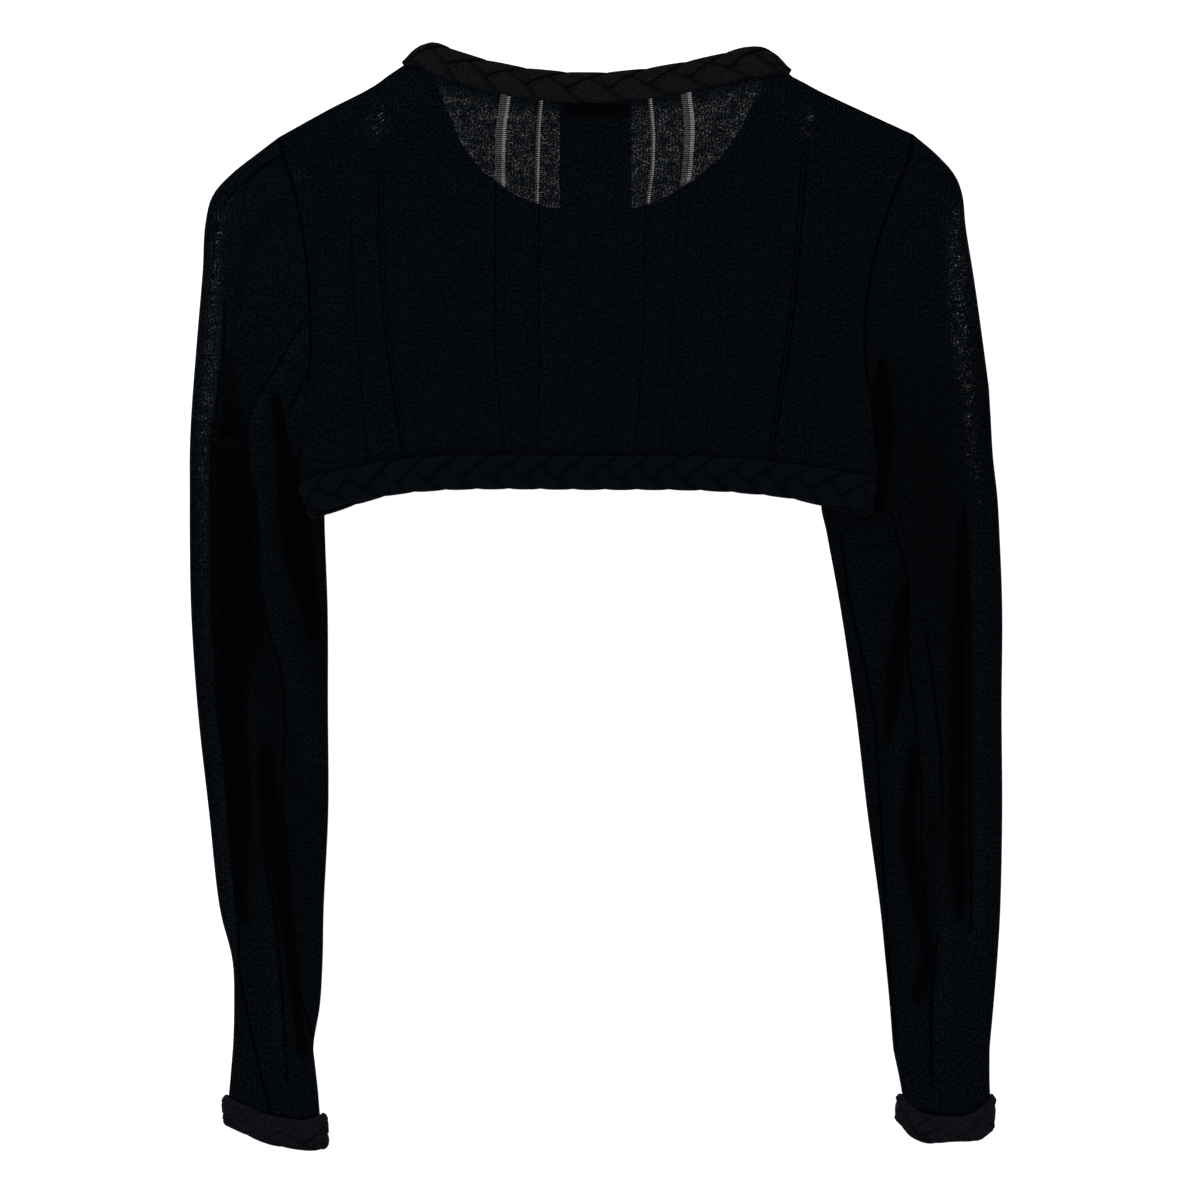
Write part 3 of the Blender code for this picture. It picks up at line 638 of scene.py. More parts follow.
body = {
    "columns": 220,
    "rows": 140,
    "thickness": 0.9,
    "shoulderShare": 0.2,  # of a panel's columns, at each side
    "underarmShare": 0.28,  # of a panel's rows, below the underarm
    "overlap": 0.5,  # of a panel's edge over the sleeve's, at the armhole
    "sideOverlap": 1.3,
    "sideDrop": 9.0,  # width over which the back comes down to the front, at a side seam
    "sideTop": (0.22, 0.1),  # share of the rows up to which it does so, and over which it eases
    "hemLength": 345.0,
    "flatEdge": 0.05,  # share of a panel, at each edge, that has no creases
    "openFrom": (0.25, 10.0),  # how open the knit is at the neck's trim, and how far off it is all so
    "closedCorner": ((99.0, 4.0), (286.0, 8.0)),  # and past these x and y, each with its ease
    "hemDip": 3.6,  # reach of the painted shade in the dip above the hem's trim
    # worn spots, where both layers are thin: middle, reach in x and y, share
    "wornOpen": 2.2,
    "wearAndPaintedLight": [
        (-131, 286, 7, 15, 1.25), (127, 288, 7, 18, 0.95),
        (-179, 252, 7, 5, 0.9), (176, 252, 8, 3, 0.9),
    ],
    "ladderDepth": 0.3,
    "ladderReach": 2.6,
    "dimPatch": ((0.8, 291.0), (21.0, 5.0)),  # painted shade over where the label is sewn in: middle and reach
    "dimShares": (0.9, 0.5),  # how much painted shade darkens it there, and in the dip above the hem's trim
    "scoopEase": (0.08, 3.0),  # the light that comes through two panels, and the scoop's soft edge
    # soft creases: rise, width, route
    "creases": [
        (0.5, 9, [(-168, 150), (-140, 158), (-108, 150)]),
        (-0.4, 8, [(-166, 132), (-138, 128), (-112, 112)]),
        (0.45, 10, [(158, 150), (128, 160), (96, 154)]),
        (-0.4, 9, [(158, 128), (134, 124), (110, 108)]),
        (0.4, 12, [(-84, 130), (-30, 122), (20, 128)]),
        (-0.3, 10, [(-10, 176), (44, 168), (84, 180)]),
        (0.4, 7, [(-150, 284), (-128, 262), (-118, 236)]),
        (0.35, 8, [(154, 282), (132, 258), (124, 232)]),
    ],
}


def sideEdge(side, hemEnd, sign):
    # up the side to the underarm, then up the armhole to the shoulder's tip
    start = (hemEnd[0], hemEnd[1] + layers["braidHalf"] - layers["tuck"])
    below = through([start, *outline["side" + side]])
    below[:, 0] += sign * np.linspace(body["sideOverlap"], body["overlap"], len(below))
    above = through(outline["armhole" + side])[::-1] + (sign * body["overlap"], 0.0)
    return joinedEdge((body["underarmShare"], below), (1.0, above))


def neckHalfAt(fromEnd):
    # the neck's trim narrows to its folded ends
    least, reach = layers["neckEnds"]
    return layers["neckHalf"] * (least + (1 - least) * smoothStep(fromEnd / reach))


def softCreases(creases, points):
    total = np.zeros(len(points))
    for rise, width, route in creases:
        total += rise * bell(distanceTo(through(route), points), width)
    return total


def makePanel(name, node, inner, underside, material, creaseShare, thickness, openness):
    bm, u, v = newGrid(body["columns"], body["rows"])
    shoulderLeft = through(outline["shoulderLeft"])
    shoulderRight = through(outline["shoulderRight"])[::-1]
    inner[0], inner[-1] = shoulderLeft[-1], shoulderRight[0]
    share = body["shoulderShare"]
    top = joinedEdge((share, shoulderLeft), (1 - share, inner), (1.0, shoulderRight))
    left, right = sideEdge("Left", hemLine[0], -1.0), sideEdge("Right", hemLine[-1], 1.0)
    hem = movedAside(hemLine, layers["braidHalf"] - layers["tuck"])
    hem[0], hem[-1] = left(np.zeros(1))[0], right(np.zeros(1))[0]
    points = fillEdges(u, v, lambda shares: pointsAt(hem, shares), top, left, right)
    crossings, _ = ladderPlaces(points[:, 1])
    nearLadder = np.min([np.abs(points[:, 0] - x) for x in crossings], axis=0)
    relief = softCreases(body["creases"], points)
    relief -= body["ladderDepth"] * bell(nearLadder, body["ladderReach"])
    edgeFade = smoothStep(np.minimum.reduce([u, 1 - u, v, 1 - v]) / body["flatEdge"])
    relief = np.maximum(relief * edgeFade * creaseShare, -body["ladderDepth"])
    heights = np.maximum(underside(points) + thickness / 2 + relief, thickness / 2 + 0.05)
    if node == "back_panel":
        # the side seams close the space between the two panels
        fromSide = np.minimum(u, 1 - u) * body["hemLength"]
        upTo, ease = body["sideTop"]
        drop = (1 - smoothStep(fromSide / body["sideDrop"])) * (1 - smoothStep((v - upTo) / ease))
        seam = frontUnderside(points) + 2 * body["thickness"] - 0.2
        heights += (np.minimum(seam, heights) - heights) * drop
    placeVertices(bm, points, heights)
    uv = bm.loops.layers.uv["knit"]
    across = acrossWales(points)
    for face in bm.faces:
        for loop in face.loops:
            i = loop.vert.index
            loop[uv].uv = (across[i], points[i, 1])
    markCreases(bm, points, [outline["armholeLeft"], outline["armholeRight"]])
    x, y = points.T
    # painted shade: darker over the label's top and in a dip above the hem's trim
    (bandX, bandY), (reachX, reachY) = body["dimPatch"]
    patch = bell(x - bandX, reachX, 6) * bell(y - bandY, reachY, 4)
    aboveHem = distanceTo(hemLine, points) - layers["braidHalf"]
    dip = bell(np.maximum(aboveHem, 0.0), body["hemDip"])
    patchDim, dipDim = body["dimShares"]
    addAttribute(bm, "shade", (1.0 - patchDim * patch) * (1.0 - dipDim * dip))
    fromNeck = distanceTo(neckLine, points) - layers["neckHalf"]
    least, reach = body["openFrom"]
    stretched = least + (1 - least) * smoothStep(fromNeck / reach)
    (cornerX, easeX), (cornerY, easeY) = body["closedCorner"]
    corners = smoothStep((np.abs(x) - cornerX) / easeX) * smoothStep((y - cornerY) / easeY)
    spots = np.zeros(len(points))
    for spotX, spotY, reachX, reachY, share in body["wearAndPaintedLight"]:
        spots += share * bell(x - spotX, reachX) * bell(y - spotY, reachY)
    addAttribute(bm, "open", stretched * (1.0 - corners) * openness + body["wornOpen"] * spots)
    away, side, _ = nearestOn(scoopLine, points)
    least, ease = body["scoopEase"]
    addAttribute(bm, "sheer", least + (1 - least) * smoothStep(0.5 + side * away / ease))
    panel = finishPiece(bm, name, material, [node])
    giveThickness(panel, body["thickness"], 0.0)
    print(name, "made")
    return panel


def makeBack(material):
    along = lengthOf(neckLine) * np.linspace(0.0, 1.0, len(neckLine))
    inwards = np.maximum(neckHalfAt(np.minimum(along, along[-1] - along)) - layers["tuck"], 0.4)
    neck = neckLine - leftOf(neckLine) * inwards[:, None]
    panel = makePanel("back_knit", "back_panel", neck, backUnderside, material, 1.0, layers["wall"], 1.0)


def makeFront(material):
    scoop = movedAside(frontTrimLine, -(layers["neckHalf"] - layers["tuck"]))
    # the front is worn less and lets no light through
    wall = body["thickness"]
    panel = makePanel("front_knit", "front_panel", scoop, frontUnderside, material, 0.3, wall, 0.0)


sleeve = {
    "rings": 270,
    "columns": 144,
    "thickness": 0.85,
    "edgeRound": 2.4,  # radius of a folded edge, in plan
    "cuffTuck": 3.0,  # how far a sleeve goes up into its cuff
    "seamShares": (0.07, 0.93),  # where on a cuff's seam the sleeve's two folds come
    "seamBow": 60.0,  # length over which the rings bow with that seam
    "headRings": 40,  # steps from the underarm to the shoulder's tip
    # how far the upper and the lower layer rise into the cuff, and over what length
    "cuffRise": (1.3, 3.4, 14.0),
    # the body presses a sleeve flat past this x, above the first y and below the second
    "pressedPast": {"left": -186.0, "right": 178.0},
    "pressedRows": (36.0, 140.0),
    "pressedEase": 12.0,
    "armholeEase": 22.0,
    "lowerPlace": (300.7, 50.3),  # the lower layer is read this far away in the knit
    "foldEnds": (0.15, 16.0),  # a fold's share at its ends, and the length over which it grows
    "hollowTone": -0.9,  # folds with less than this tone are hollows with steep sides
    "tuckEase": 12.0,  # length over which a sleeve is drawn up into its cuff
    "cuffEase": 0.8,  # and over which painted shadow darkens its tone there
    # how dark the painted shadow is where a sleeve goes into its cuff
    "cuffDark": 0.98,
    "open": 0.4,  # how open the knit is away from its worn strips
    "evenColumns": 0.65,  # share of the columns' spread that is even; the rest is closer at the folds
    "hollowCurve": (1.9, 1.6, 1.3),  # a hollow's painted shade over its share: factor, power and most
    # the least tone that painted shade leaves
    "leastTone": 0.02,
    "leastLoft": -0.5,  # a hollow goes down this far, from where a sleeve is pressed
    # the worn strip along each outer side, from below: y, distance from the edge, reach, share
    "wornOpen": 2.0,
    "wearAndPaintedLight": {
        "left": [
            (-60, 7.5, 5, 0.2), (21, 8, 5.5, 0.6), (57, 8.4, 6, 0.85),
            (130, 9.6, 7.5, 1), (207, 10.8, 8, 1.1), (235, 11, 7, 0.9),
            (250, 11, 6, 0.3), (275, 10, 6, 0),
        ],
        "right": [
            (50, 11, 5, 0.3), (75, 12, 6, 0.95), (105, 12.5, 7, 0.95),
            (140, 13, 9.5, 1.05), (160, 13.5, 10.5, 1.1), (200, 12.5, 10, 1.2),
            (228, 12, 8.5, 1.1), (240, 11, 6, 0.4), (265, 8, 4, 0),
        ],
    },
    # painted light and shade along a sleeve, from the cuff up: y, tone
    "tones": {
        "left": [(-300, 1.1), (-200, 0.85), (-60, 0.6), (60, 0.65), (150, 1), (280, 1.1)],
        "right": [(-300, 1.1), (-200, 0.9), (-60, 0.75), (120, 0.7), (190, 1), (280, 1.05)],
    },
}
# Folds and hollows of the sleeves: rise, change of tone (painted light on a fold, painted shade in a
# hollow), and a route from the top of x, y and the fold's width at its left and at its right
sleeveFolds = {
    "left": [
        (1.8, 0.75, [
            (-223.2, 177.6, 9, 2), (-225, 147.6, 9, 2), (-228, 120.6, 9, 2), (-231.6, 93.6, 9, 2),
            (-232.2, 66.6, 8, 2), (-232.2, 39.6, 8, 2), (-231.6, 12.6, 8, 2), (-231, -14.4, 8, 2),
            (-229.8, -41.4, 8, 2), (-228.6, -68.4, 8, 2.2), (-225, -95.4, 7, 2.2),
            (-222.6, -122.4, 6, 2.4), (-220.8, -149.4, 6, 2.6), (-218.4, -176.4, 6, 2.8),
            (-215.4, -203.4, 6, 3), (-214.8, -227.4, 6, 3)
        ]),
        (3, 0.5, [
            (-173.4, 164.4, 2, 5), (-188.4, 138.6, 2, 6), (-196.8, 125.4, 2, 7), (-205.2, 108.6, 2, 7),
            (-206.4, 93.6, 1.8, 8), (-205.2, 74.4, 1.8, 7), (-202.2, 59.4, 2, 6), (-200.4, 45.6, 2, 6),
            (-199.8, 27.6, 2.2, 8), (-198, 3.6, 3, 10), (-192, -17.4, 4, 9), (-186, -38.4, 4, 9),
            (-179.4, -62.4, 5, 9), (-174, -86.4, 5, 8), (-170.4, -110.4, 5, 8)
        ]),
        (1.2, 0.3, [
            (-172.8, 134.4, 2.5, 4), (-180, 116.4, 2.5, 4), (-184.8, 99.6, 3, 3), (-186, 84.6, 3, 3)
        ]),
        (1, 0.25, [
            (-206.4, -38.4, 4, 4), (-205.2, -74.4, 4, 4), (-202.8, -110.4, 4, 4), (-200.4, -140.4, 4, 4)
        ]),
        (1.2, 0.35, [
            (-200.4, -176.4, 6, 4), (-196.8, -203.4, 6, 4), (-192.6, -233.4, 5, 3.5),
            (-189.6, -260.4, 4, 3.5), (-188.4, -284.4, 4, 3.5)
        ]),
        (-0.6, -0.25, [
            (-182.4, 235.8, 3, 4), (-196.8, 228, 4, 5), (-204.6, 216.6, 3, 4), (-210, 200.4, 3, 3),
            (-214.2, 177.6, 3, 3), (-217.8, 159.6, 2, 2)
        ]),
        (-1, -0.45, [
            (-220.8, 153.6, 2, 3), (-220.2, 129.6, 5, 5), (-219, 108.6, 8, 8), (-218.4, 87.6, 10, 10)
        ]),
        (-1.6, -0.85, [
            (-218.4, 93.6, 8, 9), (-217.8, 57.6, 11, 12), (-216.6, 27.6, 11, 13), (-214.8, -2.4, 12, 14),
            (-214.8, -26.4, 11, 14), (-218.4, -50.4, 8, 10), (-218.4, -74.4, 7, 9), (-216, -98.4, 6, 8),
            (-214.8, -122.4, 6, 8), (-214.2, -149.4, 5, 7), (-213.6, -176.4, 3, 5), (-211.8, -200.4, 2, 4)
        ]),
        (-1.5, -0.85, [
            (-198, -86.4, 4, 5), (-197.4, -116.4, 5, 6), (-194.4, -140.4, 6, 7), (-190.8, -158.4, 6, 6),
            (-187.2, -182.4, 4.5, 5), (-183.6, -206.4, 4, 4.5), (-181.2, -233.4, 3.5, 4),
            (-177.6, -260.4, 3, 4), (-175.2, -281.4, 3, 4)
        ]),
        (-2, -0.95, [
            (-193.2, 126.6, 2.6, 2.6), (-190.2, 108.6, 3.5, 3.5), (-187.2, 87.6, 4.4, 5.2),
            (-184.8, 66.6, 6, 8), (-181.2, 39.6, 8, 10), (-175.8, 12.6, 8, 8), (-171, -11.4, 5, 5),
            (-168, -29.4, 3.4, 3.4)
        ]),
    ],
    "right": [
        (1.8, 0.45, [
            (224.4, 57.6, 2, 8), (226.2, 21.6, 2, 8), (227.4, -14.4, 2, 8), (228, -62.4, 2, 8),
            (228, -110.4, 2, 8), (228, -152.4, 2, 8), (227.4, -188.4, 3, 8), (225.6, -218.4, 5, 8)
        ]),
        (1.2, 0.3, [(153.6, 15.6, 4, 8), (159.6, -14.4, 4, 7), (165, -38.4, 4, 6), (168.6, -62.4, 3, 5)]),
        (1.2, 0.25, [
            (180, -74.4, 4, 3), (181.2, -98.4, 4, 3), (182.4, -116.4, 4, 3), (178.2, -140.4, 6, 4),
            (177.6, -164.4, 6, 4)
        ]),
        (1.3, 0.3, [(195.6, -50.4, 3, 6), (196.8, -80.4, 2.5, 6), (198, -104.4, 2, 5)]),
        (1.2, 0.35, [
            (210, -185.4, 4, 8), (208.2, -212.4, 4, 8), (206.4, -242.4, 4, 8), (204, -272.4, 4, 8)
        ]),
        (-2, -0.95, [
            (171, 147, 1.6, 1.6), (171.4, 137.8, 3, 2.6), (171.6, 127.6, 5.2, 4.6),
            (171.6, 115.6, 6.6, 6), (171.2, 99.6, 7, 7), (170.8, 87.6, 6.6, 6.6), (170.4, 75.6, 5.8, 5),
            (170.4, 57.6, 4.6, 3.6), (171, 46, 4, 3)
        ]),
        (-1.4, -0.7, [
            (184.8, 12.6, 2, 3), (183, -8.4, 4, 4), (180.6, -32.4, 5, 5), (178.2, -56.4, 4.5, 4.5),
            (175.2, -80.4, 3, 4), (174, -92.4, 2, 3)
        ]),
        (-1.3, -0.6, [
            (190.8, -83.4, 3, 2.5), (189.6, -110.4, 5, 3), (187.8, -137.4, 6, 4.5), (189.6, -164.4, 5, 5),
            (192.6, -185.4, 4, 4), (198, -209.4, 4, 5), (195.6, -233.4, 6, 6), (189.6, -248.4, 6, 5)
        ]),
        (-1.2, -0.7, [
            (220.2, 54.6, 3, 1.5), (219.6, 21.6, 4, 2), (218.4, -14.4, 5, 3), (217.8, -50.4, 6, 3.5),
            (217.2, -86.4, 6, 4), (217.2, -122.4, 6, 4), (217.2, -152.4, 6, 4), (217.8, -176.4, 5, 4),
            (217.2, -200.4, 3, 3)
        ]),
        (-0.8, -0.35, [
            (202.2, -116.4, 3, 3), (201, -146.4, 4, 4), (200.4, -176.4, 4, 4), (200.4, -200.4, 4, 4)
        ]),
        (-0.6, -0.2, [
            (185.4, 99.6, 10, 10), (197.4, 75.6, 12, 14), (200.4, 45.6, 14, 14), (200.4, 9.6, 12, 12)
        ]),
    ],
}
# Thin creases, painted dark as shade: the foot of a steep fold, and ladders that run down a sleeve
sleeveCreases = {
    "left": [
        [
            (-222, 177.6), (-223.2, 147.6), (-226.2, 120.6), (-229.8, 93.6), (-230.4, 66.6),
            (-229.8, 39.6), (-229.8, 12.6), (-229.2, -14.4), (-227.4, -41.4), (-226.2, -68.4),
            (-222.6, -95.4), (-220.2, -122.4), (-218.4, -149.4), (-216, -176.4), (-213.6, -203.4),
            (-213.6, -226.2), (-208.8, -249.6), (-202.8, -277.8), (-195, -307.2)
        ],
        [
            (-174, 166.8), (-189.6, 139.8), (-198, 126.6), (-207, 109.8), (-208.8, 93.6), (-207.6, 74.4),
            (-204, 57.6), (-202.2, 33.6), (-201.6, 12.6), (-198.6, -8.4), (-194.4, -26.4),
            (-189.6, -41.4), (-186, -79.8), (-187.8, -108), (-186.6, -143.4), (-184.2, -169.8),
            (-181.2, -228), (-174, -249.6), (-169.2, -267), (-166.2, -290.4)
        ],
        [(-173.4, 134.4), (-181.2, 116.4), (-185.4, 108)],
        [
            (-199.2, -122.4), (-198, -161.4), (-192.6, -187.8), (-189, -223.2), (-186.6, -263.4),
            (-184.8, -290.4)
        ],
        [
            (-191.4, 262.8), (-204, 253.2), (-215.4, 243.6), (-222, 234), (-227.4, 220.8),
            (-229.2, 200.4), (-230.4, 183.6)
        ],
    ],
    "right": [
        [
            (146.4, 37.8), (151.8, -2.4), (157.2, -26.4), (162.6, -48), (167.4, -78), (169.2, -108),
            (171, -143.4), (172.8, -178.8), (176.4, -231.6), (180.6, -269.4)
        ],
        [
            (175.8, 52.2), (181.2, 32.4), (186.6, 9.6), (186.6, -17.4), (186.6, -35.4), (189.6, -58.8),
            (192, -81.6), (195, -117), (195, -152.4), (196.8, -178.8), (198, -223.2)
        ],
        [
            (219.6, 57.6), (222.6, 25.8), (223.2, -20.4), (223.8, -81.6), (223.8, -126), (224.4, -164.4),
            (224.4, -200.4)
        ],
        [(197.4, -19.8), (202.8, -60.6), (206.4, -90.6), (207, -117), (207, -143.4)],
        [(205.2, -200.4), (202.8, -221.4), (201, -242.4), (201, -293.4)],
    ],
}


def sleeveRings(side):
    # ends of each ring across the sleeve, how far it follows the cuff's seam and the armhole's
    rows = sleeveRows[side]
    # the first stretch of each edge runs straight to the cuff's seam
    edges = through([(outer, y) for y, outer, _ in rows]), innerEdge[side]
    outer, inner = (np.delete(edge, slice(1, 10), axis=0) for edge in edges)
    cuffBow = smoothStep(1.0 - (inner[:, 1] - rows[0][0]) / sleeve["seamBow"])
    outer[0], inner[0] = pointsAt(through(cuffSeam[side]), sleeve["seamShares"])
    cuffBow[0] = 1.0
    share = np.arange(1, sleeve["headRings"] + 1) / sleeve["headRings"]
    armholeEnd = np.array(outline["armhole" + side.title()][-1])
    turn = share * math.pi / 2
    reach = np.stack([1 - np.cos(turn), np.sin(turn)], axis=-1)
    outerHead = pointsAt(through(sleeveHead[side]), share)
    innerHead = inner[-1] + (armholeEnd - inner[-1]) * reach
    armBow = np.concatenate([np.zeros(len(outer)), smoothStep((share - 0.25) / 0.75)])
    cuffBow = np.concatenate([cuffBow, np.zeros(len(share))])
    return np.vstack([outer, outerHead]), np.vstack([inner, innerHead]), cuffBow, armBow


def foldShares(side, points):
    # how much each point belongs to each fold
    least, reach = sleeve["foldEnds"]
    for rise, tone, route in sleeveFolds[side]:
        line = through(route, 4)
        away, sign, rows = nearestOn(line, points)
        width = np.where(sign > 0, rows[:, 3], rows[:, 2])
        fromEnds = np.minimum(*(lengths(points - end[:2]) for end in (line[0], line[-1])))
        power = 4 if tone < sleeve["hollowTone"] else 2
        yield rise, tone, bell(away, width, power) * smoothStep(least + fromEnds / reach)


def sleeveTop(side, points):
    # the height of a sleeve's upper face: free, pressed by the body, or sewn to it; and its tone of
    # painted light and shade
    x, y = points.T
    free = np.full(len(points), layers["lofted"])
    shade = np.interp(y, *zip(*sleeve["tones"][side]))
    factor, power, most = sleeve["hollowCurve"]
    for rise, tone, share in foldShares(side, points):
        free += rise * share
        # painted shade darkens a hollow over its whole middle, and painted light lightens a ridge only
        # along its top
        shade += tone * (np.minimum(factor * share ** power, most) if tone < 0 else share)
    free = np.maximum(free, layers["pressed"] + sleeve["leastLoft"])
    past = sleeve["pressedPast"][side]
    foot, top = sleeve["pressedRows"]
    beside = np.maximum(0.0, past - x if side == "left" else x - past)
    fromBody = np.where(y < top, np.hypot(beside, np.maximum(0.0, foot - y)), 100.0)
    fromSeam = distanceTo(through(outline["armhole" + side.title()]), points)
    loft = smoothStep(fromBody / sleeve["pressedEase"])
    loft *= smoothStep((fromSeam - 1.0) / sleeve["armholeEase"])
    height = layers["pressed"] + (free - layers["pressed"]) * loft
    return height, np.maximum(shade, sleeve["leastTone"])


def makeSleeve(side, material):
    bm, around, up = newGrid(sleeve["columns"], sleeve["rings"])
    rings = sleeveRings(side)
    run = runOf((rings[0] + rings[1]) / 2)
    ring = up * run[-1]
    outer, inner, cuffBow, armBow = (rowsAt(ring, run, kind) for kind in rings)
    half = np.where(around < 0.5, around * 2, (1 - around) * 2)
    even = sleeve["evenColumns"]
    across = even * half + (1 - even) * (0.5 - 0.5 * np.cos(math.pi * half))
    u = across[:, None]
    points = outer * (1 - u) + inner * u
    armhole = outline["armhole" + side.title()]
    for knots, bow, (first, last) in (
        (cuffSeam[side], cuffBow, sleeve["seamShares"]), (armhole, armBow, (0.0, 1.0)),
    ):
        # the rings bow with the cuff's seam, and with the armhole
        line = through(knots)
        start, end = pointsAt(line, (first, last))
        points += (pointsAt(line, first + (last - first) * across) - (start * (1 - u) + end * u)) * bow
    points[:, 1] -= sleeve["cuffTuck"] * np.clip(1.0 - ring / sleeve["tuckEase"], 0.0, 1.0)

    fromFold = np.minimum(across, 1 - across) * lengths(inner - outer)
    edge = 1 - np.clip(fromFold / sleeve["edgeRound"], 0.0, 1.0)
    top, shade = sleeveTop(side, points)
    heights = top / 2 * (1 + np.where(around < 0.5, 1.0, -1.0) * np.sqrt(1 - edge ** 2))
    upperRise, lowerRise, length = sleeve["cuffRise"]
    heights += smoothStep(1.0 - ring / length) * np.where(around < 0.5, upperRise, lowerRise)
    placeVertices(bm, points, heights)

    # both layers are read from above, the lower one elsewhere in the knit
    uv = bm.loops.layers.uv["knit"]
    moveX, moveY = sleeve["lowerPlace"]
    for face in bm.faces:
        below = sum(loop[uv].uv.x for loop in face.loops) / len(face.loops) > 0.5
        for loop in face.loops:
            x, y = points[loop.vert.index]
            loop[uv].uv = (x + moveX * below, y + moveY * below)
    y, *kinds = np.array(sleeve["wearAndPaintedLight"][side]).T
    centre, reach, share = (np.interp(points[:, 1], y, kind) for kind in kinds)
    wearAndPaintedLight = share * bell(fromFold - centre, reach) * (across < 0.5)
    addAttribute(bm, "open", sleeve["open"] + sleeve["wornOpen"] * wearAndPaintedLight)
    # painted shadow where the sleeve goes into its cuff
    intoCuff = smoothStep((sleeve["cuffTuck"] + 1.0 - ring) / sleeve["cuffEase"])
    addAttribute(bm, "shade", shade * (1.0 - sleeve["cuffDark"] * intoCuff))
    markCreases(bm, points, [armhole, *sleeveCreases[side]])
    bmesh.ops.remove_doubles(bm, verts=bm.verts, dist=0.01 * mm)
    bmesh.ops.recalc_face_normals(bm, faces=bm.faces)
    bm.normal_update()
    # an open tube has no inside of its own, so the upper layer shows which way is out
    if max(bm.faces, key=lambda face: face.calc_center_median().z).normal.z < 0:
        bmesh.ops.reverse_faces(bm, faces=bm.faces)
    piece = finishPiece(bm, f"sleeve_knit_{side}", material, [f"sleeve_{side}"])
    giveThickness(piece, sleeve["thickness"], -1.0)
    print(side, "sleeve made")


# Plaits: three folded strips, each crossing the trim from edge to edge, folding over at the edge
# and going back beneath. Each is on top from a third of the way across to the edge it comes to.

plait = {
    "half": 9.2,  # from the trim's middle to the strips' folds
    "rise": 1.15,  # height of the upper strips' middle over the trim's middle
    "thick": 1.05,  # half the thickness of a strip
    "girth": 24.0,  # of a strip, in its own map
    "fill": 1.0,  # share of a lobe that a strip's width fills
    "soft": 3.2,  # length over which a strip comes up from under its neighbour
    "cross": 0.7,  # share of its run that a strip spends crossing; the rest goes on its folds
    "bias": 0.0,  # how far above the trim's middle the crossings lie
    "square": 2.3,  # roundness of a strip's section: 2 is an ellipse
    "around": 22,
    "rows": 9,  # mesh rows of a crossing
    "foldRows": 7,
    "grooves": (1.0, 0.9, 1.0),  # painted shade beside the upper and the lower lobes, and share at the top
    "grooveWidth": 0.8,
    "grooveSoft": 0.9,
    "fade": (0.6, 0.75),  # where down the trim the grooves' painted shade reaches its full darkness
}


def stripRows(values):
    # a strip's way across and over the fold: progress, place across from -1 to 1, part of the fold
    edge = (1 - values["cross"]) / 2
    share = np.linspace(0.0, 1.0, values["rows"])
    turn = np.linspace(0.0, 1.0, values["foldRows"] + 2)[1:-1]
    progress = np.concatenate([edge + share * values["cross"], 1 - edge + turn * 2 * edge])
    across = np.concatenate([2 * share - 1, np.ones(len(turn))])
    return progress, across, np.concatenate([np.zeros(len(share)), turn])


